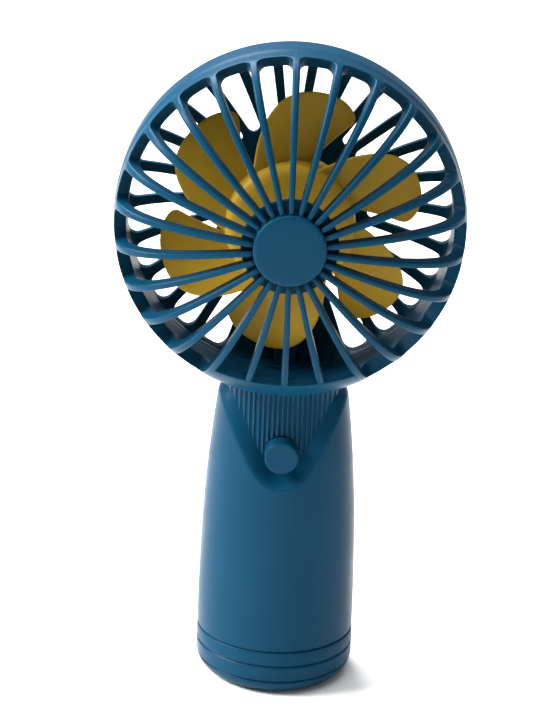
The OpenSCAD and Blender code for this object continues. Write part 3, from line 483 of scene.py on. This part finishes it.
MOTOR_FRONT = -box_mm("motor_can")[0][1]
CUP_IN = 12.1
CUP_OUT = 13.6
RETAINER_R = 14.9
DUCT_HALF = 5.25
DUCT_FRONT = 8.6
HOOD_HALF = 3.4
HOOD_BACK = 9.2
STUB_HALF = 9.0
STUB_SIDES = (0.5, 7.5)
STUB_FROM = 93.1
STUB_TO = HEAD_Z - HEAD_R + 4


def motor_cup():
    """Cup round the motor, with three bosses for the retainer's screws."""
    shape = Shape()
    back = REAR_START + REAR_OUT[2] - 1.5
    profile = [(CUP_OUT, MOTOR_FRONT - 0.35), (CUP_OUT - 0.3, MOTOR_FRONT), (CUP_IN + 0.3, MOTOR_FRONT),
               (CUP_IN, MOTOR_FRONT - 0.35), (CUP_IN, MOTOR_FRONT - 3), (CUP_IN, -8), (CUP_IN, -14),
               (CUP_IN, -back), (CUP_IN + 0.3, -back - 0.2), (CUP_OUT - 0.3, -back - 0.2),
               (CUP_OUT, -back), (CUP_OUT, -14), (CUP_OUT, -8), (CUP_OUT, MOTOR_FRONT - 3)]
    turned(shape, profile, steps=64, loop=True)
    boss = [(0.2, MOTOR_FRONT), (1.25, MOTOR_FRONT), (1.6, MOTOR_FRONT - 0.3), (1.6, MOTOR_FRONT - 1.5),
            (1.6, MOTOR_FRONT - 8), (1.3, MOTOR_FRONT - 9), (0.2, MOTOR_FRONT - 9)]
    for turn in np.radians([180, 300, 60]):
        tube(shape, boss, (RETAINER_R * math.sin(turn), HEAD_Z + RETAINER_R * math.cos(turn)), 16)
    return make("motor_cup", shape)


def rear_skin_y(r, inset):
    """How far back the rear dome's outside lies at a radius, less an inset."""
    return rear_dome(REAR_OUT, dome_t(np.clip(r / REAR_OUT[0], 0, 0.999)))[1] - inset


def box_loft(shape, levels, round_r=0.7):
    """Closed solid through rounded rectangles: (z, half width, front y, back y)."""
    rows = []
    corner = np.radians([0, 30, 60, 90])
    shares = (0.05, 0.6, 0.96)
    for z, half, front, back in levels:
        right, rear, near = half - round_r, back - round_r, front + round_r
        ring = []
        for turn, (cx, cy) in enumerate(((right, rear), (-right, rear), (-right, near), (right, near))):
            for a in corner + turn * math.pi / 2:
                ring.append((cx + round_r * math.cos(a), cy + round_r * math.sin(a), z))
        rows.append(ring)
    rows = np.array(rows)
    middle = rows.mean(axis=1, keepdims=True)
    first = [mix(middle[0], rows[0], f) for f in shares]
    last = [mix(middle[-1], rows[-1], f) for f in shares[::-1]]
    shape.grid(np.array(first + list(rows) + last), wrap=True)


def lead_duct():
    """Duct behind the blades, the hood over the leads' way out of it, and the stub in the neck."""
    shape = Shape()
    box_loft(shape, [(HEAD_Z - down, DUCT_HALF, DUCT_FRONT, rear_skin_y(down + 0.3, 1.4))
                     for down in (12.5, 12.9, 18, 24, 30, 36, 42, 47, 49.1, 49.4)])
    box_loft(shape, [(HEAD_Z - down, HOOD_HALF, front, HOOD_BACK)
                     for down, front in ((50, 2.6), (49.6, 2.6), (46, 2.8), (43.4, 6.2), (43, 6.4))])
    box_loft(shape, [(z, STUB_HALF, *STUB_SIDES)
                     for z in (STUB_FROM, STUB_FROM + 0.4, STUB_TO, STUB_TO + 0.5)])
    return make("lead_duct", shape)


# ---- Impeller ----

HUB_R = 19.3
HUB_FRONT = -box_mm("impeller")[0][1]
HUB_BACK = -2.5
BLADES = 6
BLADE_PITCH = math.radians(23)
BLADE_MID = 3.0
BLADE_HALF_T = 0.62
BLADE_ROOT = HUB_R - 0.9
BLADE_CAMBER = 0.9
BLADE_WIDE = 14.0
BLADE_CENTRE = (-2.0, 28.5)
BLADE_TURN = math.radians(10)


def bend(a, b, c, steps):
    """Points on a curve from a to c that bends towards b, without its last point."""
    t = np.arange(steps)[:, None] / steps
    a, b, c = (np.array(p, float) for p in (a, b, c))
    return (1 - t) ** 2 * a + 2 * t * (1 - t) * b + t * t * c


def blade_outline():
    """One blade as seen from the front, with the head's centre at the origin."""
    return np.concatenate([
        bend((-13.6, 11.4), (-16, 25), (-12.6, 32.3), 12),
        bend((-12.6, 32.3), (-9.5, 39.8), (-1, 40.1), 10),
        bend((-1, 40.1), (6, 40.2), (10, 36.8), 7),
        bend((10, 36.8), (14.2, 33.2), (11.6, 30.6), 5),
        bend((11.6, 30.6), (6.5, 25.6), (0.6, 16.5), 12),
        bend((0.6, 16.5), (-6.5, 18), (-13.6, 11.4), 8),
    ])


def blade_height(x, y):
    """Distance to the front of a blade's middle surface: pitched, with a little camber and twist."""
    twist = BLADE_PITCH * (1.04 - 0.08 * (y - HUB_R) / 20)
    return BLADE_MID - x * np.tan(twist) + BLADE_CAMBER * (1 - (x / BLADE_WIDE) ** 2)


def blades():
    """All the blades, each a thin closed shell through its outline."""
    shape = Shape()
    outline = blade_outline()
    edge = ((1, 0.35), (0.985, 0.75), (0.95, 0.95), (0.86, 1), (0.7, 1), (0.5, 1), (0.3, 1), (0.12, 1))
    loops = list(edge[::-1]) + [(share, -thick) for share, thick in edge]
    for turn in BLADE_TURN + circle(BLADES):
        rows = []
        for share, thick in loops:
            flat = mix(np.array(BLADE_CENTRE), outline, share)
            flat *= np.maximum(1, BLADE_ROOT / np.hypot(*flat.T))[:, None]
            x, y = flat.T
            height = blade_height(x, y) + thick * BLADE_HALF_T
            rows.append(head_points(np.hypot(x, y), np.arctan2(x, y) + turn, height))
        shape.grid(rows, wrap=True)
    return make("fan_blades", shape)


def hub():
    """Hollow hub of the fan with the bore for the motor's shaft."""
    shape = Shape()
    front = HUB_FRONT
    profile = [(1.02, front - 5.9), (1.02, front - 2.2), (1.15, front - 1.3), (1.9, front - 0.95),
               (2.6, front - 0.25), (3.3, front - 0.02), (5, front), (12, front), (15.2, front - 0.02),
               (16.7, front - 0.12), (17.9, front - 0.5), (18.8, front - 1.25),
               (HUB_R - 0.04, front - 2.2), (HUB_R, front - 3.4), (HUB_R, front - 8),
               (HUB_R, HUB_BACK + 1), (HUB_R - 0.1, HUB_BACK + 0.2),
               (HUB_R - 0.4, HUB_BACK), (HUB_R - 1.4, HUB_BACK), (HUB_R - 1.7, HUB_BACK + 0.2),
               (HUB_R - 1.8, HUB_BACK + 1), (HUB_R - 1.8, front - 6), (HUB_R - 1.9, front - 3.4),
               (HUB_R - 2.8, front - 2.2), (HUB_R - 4.5, front - 2), (5, front - 2), (3.4, front - 2.1),
               (3, front - 2.6), (3, front - 6.6), (2.7, front - 6.9), (1.3, front - 6.9),
               (1.02, front - 6.6)]
    turned(shape, profile, steps=96, loop=True)
    return make("fan_hub", shape)


# ---- Handle sleeve, fluted neck, foot and button ----

FOOT_R = 6.5
CAP_GROOVES = (5.2, 10.3)
CAP_POST_X = 14.5
CAP_RECESS_R = 2.4
CAP_SCREW_HEAD = 1.8
CAP_SEAT = box_mm("base_cap_screws")[0][2] + CAP_SCREW_HEAD

TAPER = 4.9
TAPER_Z = 95.0
TAPER_POWER = 2.75
FRONT_FULLNESS = 0.1
FULL_Z = 70.0
GROOVE_DEPTH = 0.6
# Rounding at the seam: distance from it, and the inset there.
SEAM_EDGE = ((0.02, GROOVE_DEPTH), (0.2, 0.3), (0.42, 0.06), (0.6, 0))
SLEEVE_ROUND_Z = 93.6
SLEEVE_WALL = 2.0
PANEL_Z = 66.0
V_ANGLE = math.radians(27.5)
# Edges of the scoop: height of the round bottom's centre, and its radius.
V_OUTER = (78.6, 10.2)
V_INNER = (79.8, 6.3)
SOFT_EDGE = 0.0012
HIDDEN_A, HIDDEN_B = CORE_A - 0.8, CORE_B - 0.8
LINING_A, LINING_B = CORE_A - 1.3, CORE_B - 1.3
PANEL_WALL = 1.8
FLUTE_PITCH = 1.47
FLUTES = 24
# One flute across: shares of its pitch, and the depth at each.
FLUTE_STEP = np.array([-0.5, -0.36, -0.28, -0.2, -0.08, 0.08, 0.2, 0.28, 0.36])
FLUTE_DEPTH = np.array([0, 0.03, 0.17, 0.44, 0.58, 0.58, 0.44, 0.17, 0.03])
BUTTON_R = 5.1
BUTTON_GAP = 0.6
PORT_GAP = 0.2
PIPE_GAP = 0.1


def handle_a(z):
    """Half width of the handle at a height."""
    return BASE_A - TAPER * (np.asarray(z, float) / TAPER_Z) ** TAPER_POWER


def handle_b(z, angle):
    """Half depth of the handle at a height: its front is fuller than its back towards the foot."""
    fuller = FRONT_FULLNESS * np.maximum(1 - z / FULL_Z, 0) ** 2
    return handle_a(z) * (OVAL + np.where(np.cos(angle) > 0, fuller, 0))


def oval_point(a, b, angle, z):
    """A point round the handle; the angle is 0 at the front and grows towards +X."""
    a, b, angle, z = np.broadcast_arrays(np.asarray(a, float), b, angle, z)
    return np.stack([a * np.sin(angle), -b * np.cos(angle), z], axis=-1)


def v_distance(x, z, centre, r):
    """Distance outside a V with a round bottom; negative inside it."""
    side, up = np.abs(x), z - centre
    sin, cos = math.sin(V_ANGLE), math.cos(V_ANGLE)
    return np.where(side * sin + up * cos < 0, np.hypot(side, up), side * cos - up * sin) - r


def v_half_width(z, centre, r):
    """Half width of the V at a height, kept at its straight sides' start below them."""
    low = centre - r * math.sin(V_ANGLE)
    return r * math.cos(V_ANGLE) + np.maximum(z - low, 0) * math.tan(V_ANGLE)


def scoop_share(x, z):
    """0 on the sleeve's own surface, 1 where it lies behind the fluted panel."""
    outer = -v_distance(x, z, *V_OUTER)
    inner = v_distance(x, z, *V_INNER)
    plain = outer / np.maximum(outer + inner, 0.05)
    plain = np.where(inner <= 0, 1, plain)
    soft = smooth_step(plain)
    low = smooth_step((V_OUTER[0] + 1 - z) / 8)
    share = np.clip(mix(plain, soft, 0.35 + 0.65 * low), -1, 1)
    return np.clip((share + np.sqrt(share ** 2 + SOFT_EDGE)) / 2, 0, 1)


def sleeve_columns(z):
    """Angles from front to back at a height. Columns follow the edges of the V."""
    a = handle_a(z)
    inner = math.asin(min(v_half_width(z, *V_INNER) / a, 0.96))
    outer = math.asin(min(v_half_width(z, *V_OUTER) / a, 0.985))
    near = outer + 0.10
    return np.concatenate([np.linspace(0, inner, 16), np.linspace(inner, outer, 15)[1:],
                           np.linspace(outer, near, 5)[1:], np.linspace(near, math.pi, 60)[1:]])


def handle_sleeve():
    """Outer handle, with the scoop and its lining, and openings for the port and the light."""
    shape = Shape()

    def ring(z, inset=0.0, closed=0.0):
        """The outside at a height, stood in by an inset and closed in by a share at the top."""
        angle = sleeve_columns(z)
        a = handle_a(z)
        share = np.where(angle < math.pi / 2, scoop_share(a * np.sin(angle), z), 0)
        plain_a = mix(a - inset, HIDDEN_A, closed)
        plain_b = mix(handle_b(z, angle) - inset, HIDDEN_B, closed)
        return oval_point(mix(plain_a, HIDDEN_A, share), mix(plain_b, HIDDEN_B, share), angle, z)

    rows = [ring(SEAM_Z + up, inset) for up, inset in SEAM_EDGE]
    rows += [ring(z) for z in np.linspace(SEAM_Z + 1.2, PANEL_Z, 36)]
    rows += [ring(z) for z in np.linspace(PANEL_Z + 0.35, SLEEVE_ROUND_Z, 80)]
    for t in np.radians(np.linspace(0, 90, 15)[1:]):
        z = SLEEVE_ROUND_Z + (SLEEVE_TOP - SLEEVE_ROUND_Z) * math.sin(t)
        rows.append(ring(z, closed=1 - math.cos(t)))
    for z in (SLEEVE_TOP - 0.1, 90.0, 80.0, 70.0, PANEL_Z):
        rows.append(oval_point(LINING_A, LINING_B, sleeve_columns(z), z))
    for z in (PANEL_Z - 1, 45.0, 30.0, SEAM_Z + 0.02):
        angle = sleeve_columns(z)
        rows.append(oval_point(handle_a(z) - SLEEVE_WALL, handle_b(z, angle) - SLEEVE_WALL, angle, z))
    half = np.array(rows)
    other = half[:, ::-1][:, 1:-1] * (-1, 1, 1)
    shape.grid(np.concatenate([half, other], axis=1), wrap=True, loop=True)
    piece = make("grip_sleeve", shape, levels=0)
    port_half = (port_high - port_low) / 2 + PORT_GAP
    port_z = (port_low[2] + port_high[2]) / 2
    port = slot_cutter(port_half[0], port_half[2], port_z, port_low[1], BASE_A)
    pipe_low, pipe_high = box_mm("light_pipe")
    pipe_mid = (pipe_low + pipe_high) / 2
    pipe_r = pipe_high[0] - pipe_mid[0] + PIPE_GAP
    pipe = round_cutter((pipe_mid[0], pipe_mid[2]), pipe_r, pipe_low[1], BASE_A)
    return carve(piece, [port, pipe])


def slot_cutter(half_w, half_h, z, front, back):
    """Stadium-shaped prism along Y."""
    shape = Shape()
    bend_angle = np.radians(np.linspace(-90, 90, 17))
    x = np.concatenate([half_w - half_h + half_h * np.cos(bend_angle),
                        half_h - half_w - half_h * np.cos(bend_angle)])
    up = np.concatenate([half_h * np.sin(bend_angle), -half_h * np.sin(bend_angle)])
    shape.grid([np.stack([x, np.full(len(x), y), z + up], axis=-1) for y in (front, back)], wrap=True)
    return make("cutter", shape, levels=0)


def round_cutter(place, r, front, back):
    """Round rod along Y through an (x, z) point."""
    shape = Shape()
    tube(shape, [(r, -front), (r, -back)], place, 48)
    return make("cutter", shape, levels=0)


def upright_cutter(x):
    """Round rod up through the foot's underside."""
    shape = Shape()
    post(shape, [(CAP_RECESS_R, -1.0), (CAP_RECESS_R, 5.0)], x, 48)
    return make("cutter", shape, levels=0)


def carve(piece, cutters, sharp=35):
    """Cuts the cutters out of a piece, clears the slivers left by that and marks its sharp edges."""
    for cutter in cutters:
        tool = piece.modifiers.new("cut", "BOOLEAN")
        tool.operation = "DIFFERENCE"
        tool.solver = "EXACT"
        tool.object = cutter
    carved = bpy.data.meshes.new_from_object(piece.evaluated_get(bpy.context.evaluated_depsgraph_get()))
    piece.modifiers.clear()
    piece.data = carved
    for cutter in cutters:
        bpy.data.objects.remove(cutter)
    work = bmesh.new()
    work.from_mesh(carved)
    bmesh.ops.remove_doubles(work, verts=work.verts, dist=SLIVER)
    bmesh.ops.dissolve_degenerate(work, edges=work.edges, dist=SLIVER)
    bmesh.ops.holes_fill(work, edges=[e for e in work.edges if e.is_boundary], sides=0)
    bmesh.ops.triangulate(work, faces=[f for f in work.faces if len(f.verts) > 4])
    for edge in work.edges:
        edge.smooth = edge.calc_face_angle(0) < math.radians(sharp)
    for face in work.faces:
        face.smooth = True
    work.to_mesh(carved)
    work.free()
    return piece


def head_radius(w):
    """Radius of the head's outside at a distance to the front."""
    front = np.clip((w - BAND_FRONT) / FRONT_OUT[2], 0, 1) ** (1 / DOME_POWER)
    back = np.clip((-w - REAR_START) / REAR_OUT[2], 0, 1)
    r = np.where(w > BAND_FRONT, FRONT_OUT[0] * (1 - front ** 2) ** (DOME_POWER / 2), HEAD_R)
    return np.where(w < -BAND_BACK, REAR_OUT[0] * (1 - back ** 2) ** (DOME_POWER / 2), r)


def neck_panel():
    """Fluted oval core of the neck, its top let into the head."""
    shape = Shape()
    x = np.concatenate([(i - (FLUTES - 1) / 2 + FLUTE_STEP) * FLUTE_PITCH for i in range(FLUTES)])
    front = np.arcsin(x / CORE_A)
    rest = np.linspace(front[-1], front[0] + 2 * math.pi, 60)[1:-1]
    angle = np.concatenate([front, rest])
    fluted = np.concatenate([np.tile(FLUTE_DEPTH, FLUTES), 0 * rest])
    plain = np.concatenate([np.full(len(x), FLUTE_DEPTH.max()), 0 * rest])

    def ring(z, inset=0.0, wall=0.0):
        points = oval_point(CORE_A - wall, CORE_B - wall, angle, z)
        points[:, 1] += inset
        return points

    def top(points):
        reach = head_radius(-points[:, 1]) - 1.0
        points[:, 2] = HEAD_Z - np.sqrt(reach ** 2 - points[:, 0] ** 2)
        return points

    rows = [ring(z, plain) for z in (PANEL_Z, PANEL_Z + 0.3, BUTTON_Z - 1.2)]
    rows += [ring(z, fluted) for z in (BUTTON_Z - 0.8, 80.0, 86.0, 92.0, 96.5)]
    rows += [top(ring(0.0, fluted)), top(ring(0.0, wall=PANEL_WALL))]
    rows += [ring(z, wall=PANEL_WALL) for z in (94.0, 84.0, 74.0, PANEL_Z)]
    shape.grid(rows, wrap=True, loop=True)
    piece = make("neck_panel", shape, levels=0)
    hole = round_cutter((0, BUTTON_Z), BUTTON_R + BUTTON_GAP, -CORE_B - 4, -CORE_B + 4)
    return carve(piece, [hole], sharp=50)


def foot_inset(z):
    """How far the rounded lower edge stands in at a height."""
    return FOOT_R - math.sqrt(FOOT_R ** 2 - (FOOT_R - z) ** 2) if z < FOOT_R else 0.0


def foot_cap():
    """Foot of the handle: a cup with two grooves and two screw recesses."""
    shape = Shape()
    levels = [(z, foot_inset(z)) for z in (0, 0.05, 0.2, 0.5, 1.0, 1.7, 2.6, 3.6)]
    for z in CAP_GROOVES:
        for away, deep in ((-0.85, 0), (-0.6, 0), (-0.46, 0.08), (-0.15, 0.5), (0, GROOVE_DEPTH),
                           (0.15, 0.5), (0.46, 0.08), (0.6, 0), (0.85, 0)):
            levels.append((z + away, foot_inset(z + away) + deep))
    levels += [(SEAM_Z - down, inset) for down, inset in SEAM_EDGE[::-1]]
    angle = circle(160)

    def ring(z, inset):
        return oval_point(handle_a(z) - inset, handle_b(z, angle) - inset, angle, z)

    base = ring(0, FOOT_R)
    rows = [base * np.array([f, f, 1]) for f in (0.02, 0.4, 0.8, 0.97)]
    rows += [ring(z, inset) for z, inset in levels]
    inside = SLEEVE_WALL + 1.2
    floor_ring = ring(2.4, inside + 0.4)
    rows += [ring(SEAM_Z - 0.02, inside), ring(9, inside), ring(2.7, inside), floor_ring]
    rows += [floor_ring * np.array([f, f, 1]) for f in (0.8, 0.4, 0.02)]
    shape.grid(rows, wrap=True)
    piece = make("foot_cap", shape, levels=0)
    return carve(piece, [upright_cutter(side * CAP_POST_X) for side in (-1, 1)])


def cap_posts():
    """Tubes round the two screw recesses inside the cap."""
    shape = Shape()
    profile = [(CAP_RECESS_R, 1.3), (CAP_RECESS_R, 6), (CAP_RECESS_R, CAP_SEAT - 0.2),
               (CAP_RECESS_R - 0.2, CAP_SEAT), (1.5, CAP_SEAT), (1.3, CAP_SEAT + 0.2), (1.3, 15.6),
               (1.5, 15.8), (2.8, 15.8), (3, 15.6), (3, 8), (3, 1.3), (2.7, 1.1)]
    for side in (-1, 1):
        post(shape, profile, side * CAP_POST_X, 32, loop=True)
    return make("cap_posts", shape)


def power_button():
    """Push button with a retaining flange inside the neck."""
    shape = Shape()
    face, flange = BUTTON_FACE, -button_high[1]
    profile = [(0.3, face - 0.05), (2.4, face - 0.04), (4.1, face - 0.01), (4.5, face),
               (4.78, face - 0.05), (5.0, face - 0.22), (BUTTON_R, face - 0.5), (BUTTON_R, face - 2),
               (BUTTON_R, face - 6), (BUTTON_R, flange + 1.1), (5.25, flange + 0.85),
               (5.6, flange + 0.8), (5.95, flange + 0.8), (6.15, flange + 0.7), (6.2, flange + 0.4),
               (6.15, flange + 0.1), (5.95, flange), (3, flange), (0.3, flange)]
    tube(shape, profile, (0, BUTTON_Z), 64)
    return make("power_button", shape)


# ---- Materials ----

def finish(name, dark, light, rough, metal=0.0, grain=1800.0, stretch=(1, 1, 1), bump=0.06,
           depth=0.00004, specular=0.5, coat=0.0, blotch=45.0, bands=None, through=0.0, edge=0.0):
    """A procedural finish: two tones mixed by fine grain and broad blotches, uneven gloss, fine bump.

    bands is (direction, scale, depth) for turns of wire or stacked sheets. edge is the strength of a
    painted highlight: a lighter colour on sharp convex edges, found by pointiness.
    """
    material = bpy.data.materials.new(name)
    material.use_nodes = True
    tree = material.node_tree
    shader = tree.nodes["Principled BSDF"]
    link = tree.links.new
    place = tree.nodes.new("ShaderNodeTexCoord")
    mapping = tree.nodes.new("ShaderNodeMapping")
    mapping.inputs["Scale"].default_value = stretch
    link(place.outputs["Object"], mapping.inputs["Vector"])

    def noise(scale, detail):
        node = tree.nodes.new("ShaderNodeTexNoise")
        node.inputs["Scale"].default_value = scale
        node.inputs["Detail"].default_value = detail
        link(mapping.outputs["Vector"], node.inputs["Vector"])
        return node.outputs["Fac"]

    def spread(value, low, high, from_low=0.3, from_high=0.7):
        node = tree.nodes.new("ShaderNodeMapRange")
        for socket, number in (("From Min", from_low), ("From Max", from_high), ("To Min", low),
                               ("To Max", high)):
            node.inputs[socket].default_value = number
        link(value, node.inputs["Value"])
        return node.outputs["Result"]

    fine = noise(grain, 3)
    broad = noise(blotch, 2)
    tone = tree.nodes.new("ShaderNodeMath")
    tone.operation = "MULTIPLY_ADD"
    link(fine, tone.inputs[0])
    tone.inputs[1].default_value = 0.45
    link(spread(broad, 0.0, 0.55), tone.inputs[2])
    colour = tree.nodes.new("ShaderNodeMix")
    colour.data_type = "RGBA"
    colour.inputs["A"].default_value = (*dark, 1)
    colour.inputs["B"].default_value = (*light, 1)
    link(tone.outputs[0], colour.inputs["Factor"])
    result = colour.outputs["Result"]
    height = fine
    if bands:
        direction, scale, band_depth = bands
        wave = tree.nodes.new("ShaderNodeTexWave")
        wave.bands_direction = direction
        wave.inputs["Scale"].default_value = scale
        link(place.outputs["Object"], wave.inputs["Vector"])
        shade = tree.nodes.new("ShaderNodeMix")
        shade.data_type = "RGBA"
        shade.blend_type = "MULTIPLY"
        shade.inputs["Factor"].default_value = 0.5
        link(result, shade.inputs["A"])
        link(wave.outputs["Color"], shade.inputs["B"])
        result = shade.outputs["Result"]
        height = wave.outputs["Fac"]
        depth = band_depth
    # Painted highlight: sharp edges get a lighter colour that stands in for the light they catch.
    if edge:
        painted_edge_highlight = tree.nodes.new("ShaderNodeMix")
        painted_edge_highlight.data_type = "RGBA"
        painted_edge_highlight.inputs["B"].default_value = (*(min(c * 1.7 + 0.02, 1) for c in light), 1)
        shape_info = tree.nodes.new("ShaderNodeNewGeometry")
        link(spread(shape_info.outputs["Pointiness"], 0.0, edge, 0.53, 0.62), painted_edge_highlight.inputs["Factor"])
        link(result, painted_edge_highlight.inputs["A"])
        result = painted_edge_highlight.outputs["Result"]
    link(result, shader.inputs["Base Color"])
    link(spread(broad, rough - 0.05, rough + 0.05), shader.inputs["Roughness"])
    shader.inputs["Metallic"].default_value = metal
    shader.inputs["Specular IOR Level"].default_value = specular
    shader.inputs["Coat Weight"].default_value = coat
    shader.inputs["Coat Roughness"].default_value = 0.2
    shader.inputs["Transmission Weight"].default_value = through
    relief = tree.nodes.new("ShaderNodeBump")
    relief.inputs["Strength"].default_value = bump
    relief.inputs["Distance"].default_value = depth
    link(height, relief.inputs["Height"])
    link(relief.outputs["Normal"], shader.inputs["Normal"])
    return material


def finishes():
    """One procedural material for each slot of the record."""
    return {
        # edge=0.3 on the shell and the blades paints a highlight on their sharp edges.
        "shell": finish("shell", (0.0012, 0.035, 0.072), (0.0020, 0.043, 0.087), 0.36, bump=0.35,
                        specular=0.065, edge=0.3),
        "blade": finish("blade", (0.31, 0.190, 0.012), (0.40, 0.250, 0.020), 0.40, bump=0.25,
                        specular=0.12, edge=0.3),
        "steel": finish("steel", (0.42, 0.43, 0.45), (0.60, 0.61, 0.63), 0.32, metal=1,
                        stretch=(1, 8, 1), bump=0.15),
        "cell": finish("cell", (0.45, 0.46, 0.48), (0.58, 0.59, 0.60), 0.35, metal=1, bump=0.1),
        "lamination": finish("lamination", (0.16, 0.16, 0.17), (0.25, 0.25, 0.27), 0.45, metal=1,
                             bands=("Y", 320.0, 0.0001), bump=0.5),
        "copper": finish("copper", (0.42, 0.15, 0.06), (0.60, 0.25, 0.11), 0.30, metal=1,
                         bands=("Y", 520.0, 0.00012), bump=0.6),
        "bronze": finish("bronze", (0.34, 0.21, 0.09), (0.46, 0.30, 0.14), 0.50, metal=1, bump=0.4),
        "nickel": finish("nickel", (0.55, 0.53, 0.47), (0.68, 0.66, 0.60), 0.28, metal=1, bump=0.1),
        "ferrite": finish("ferrite", (0.035, 0.035, 0.038), (0.06, 0.06, 0.063), 0.75, bump=0.5),
        "black_plastic": finish("black_plastic", (0.012, 0.012, 0.013), (0.022, 0.022, 0.024), 0.5,
                                bump=0.3),
        "board": finish("board", (0.010, 0.085, 0.035), (0.018, 0.13, 0.055), 0.30, coat=0.4,
                        bands=("DIAGONAL", 160.0, 0.00003), bump=0.3),
        "ceramic_parts": finish("ceramic_parts", (0.24, 0.17, 0.10), (0.36, 0.26, 0.16), 0.5),
        "ivory": finish("ivory", (0.62, 0.57, 0.45), (0.72, 0.68, 0.56), 0.45),
        "wrap": finish("wrap", (0.020, 0.13, 0.06), (0.035, 0.18, 0.09), 0.28, coat=0.3),
        "insulator": finish("insulator", (0.58, 0.55, 0.46), (0.70, 0.67, 0.58), 0.85, bump=0.5),
        "clear": finish("clear", (0.72, 0.77, 0.79), (0.80, 0.84, 0.86), 0.20, through=0.6),
        "lead_red": finish("lead_red", (0.40, 0.015, 0.010), (0.50, 0.03, 0.02), 0.45),
        "lead_black": finish("lead_black", (0.010, 0.010, 0.011), (0.020, 0.020, 0.021), 0.45),
    }


# ---- Camera, floor and light ----

CAMERA_PLACE = (-0.0056, -0.600, 0.3279)
CAMERA_DOWN = math.radians(20.34)
CAMERA_ROLL = math.radians(2.05)
CAMERA_LENS = 106.0
SENSOR_WIDTH = 36
FLOOR_REACH = 6.0
WORLD_STRENGTH = 0.30


def add_camera():
    data = bpy.data.cameras.new("camera")
    camera = bpy.data.objects.new("camera", data)
    bpy.context.scene.collection.objects.link(camera)
    data.sensor_width = SENSOR_WIDTH
    data.lens = CAMERA_LENS
    data.clip_start, data.clip_end = 0.01, 20
    camera.matrix_world = (Matrix.Translation(CAMERA_PLACE)
                           @ Matrix.Rotation(math.pi / 2 - CAMERA_DOWN, 4, "X")
                           @ Matrix.Rotation(CAMERA_ROLL, 4, "Z"))
    bpy.context.scene.camera = camera


def add_floor():
    mesh = bpy.data.meshes.new("floor")
    corners = [(x * FLOOR_REACH, y * FLOOR_REACH, 0) for x, y in ((-1, -1), (1, -1), (1, 1), (-1, 1))]
    mesh.from_pydata(corners, [], [(0, 1, 2, 3)])
    floor = bpy.data.objects.new("floor", mesh)
    bpy.context.scene.collection.objects.link(floor)
    mesh.materials.append(finish("floor", (0.90, 0.90, 0.90), (0.94, 0.94, 0.94), 0.9, bump=0.0,
                                 specular=0.0, grain=40.0, blotch=2.0))


def add_lamp(name, kind, direction, strength, distance=1.0, aim=(0, 0, 0.12), **settings):
    """A lamp that shines from a direction towards the fan."""
    data = bpy.data.lights.new(name, kind)
    data.energy = strength
    for key, value in settings.items():
        setattr(data, key, value)
    away = Vector(direction).normalized()
    lamp = bpy.data.objects.new(name, data)
    lamp.location = Vector(aim) + away * distance
    lamp.rotation_euler = away.to_track_quat("Z", "Y").to_euler()
    bpy.context.scene.collection.objects.link(lamp)


def add_studio():
    world = bpy.data.worlds.new("studio")
    world.use_nodes = True
    background = world.node_tree.nodes["Background"]
    background.inputs["Color"].default_value = (1, 1, 1, 1)
    background.inputs["Strength"].default_value = WORLD_STRENGTH
    bpy.context.scene.world = world
    bpy.context.scene.view_settings.view_transform = "Standard"
    add_lamp("overhead", "SUN", (-0.30, 0.10, 1.0), 2.8, angle=math.radians(80))
    add_lamp("key", "AREA", (-0.95, -0.12, 0.62), 16.5, distance=0.9, shape="DISK", size=0.40)
    add_lamp("rim", "AREA", (-0.40, 0.60, 0.95), 20.0, distance=1.0, shape="DISK", size=0.7)


# ---- Build ----

add_camera()
add_floor()
add_studio()

looks = finishes()
for node in frame["record"]["subparts"]:
    carried = frame["nodes"][node["node"]]
    carried.data.materials.clear()
    carried.data.materials.append(looks[node["material_slot"]])

PIECES = (
    (front_cage, "frame", "shell", "front_grille"),
    (front_disc, "frame", "shell", None),
    (front_apron, "frame", "shell", None),
    (rear_cage, "frame", "shell", "rear_housing"),
    (motor_cup, "frame", "shell", None),
    (lead_duct, "frame", "shell", None),
    (neck_panel, "frame", "shell", "neck_core"),
    (handle_sleeve, "frame", "shell", "handle_sleeve"),
    (foot_cap, "frame", "shell", "base_cap"),
    (cap_posts, "frame", "shell", None),
    (power_button, "button", "shell", "button_cap"),
    (blades, "rotor", "blade", "impeller"),
    (hub, "rotor", "blade", None),
)
for build, body, slot, node in PIECES:
    piece = build()
    piece.data.materials.clear()
    piece.data.materials.append(looks[slot])
    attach(piece, body)
    if node:
        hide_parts(node)
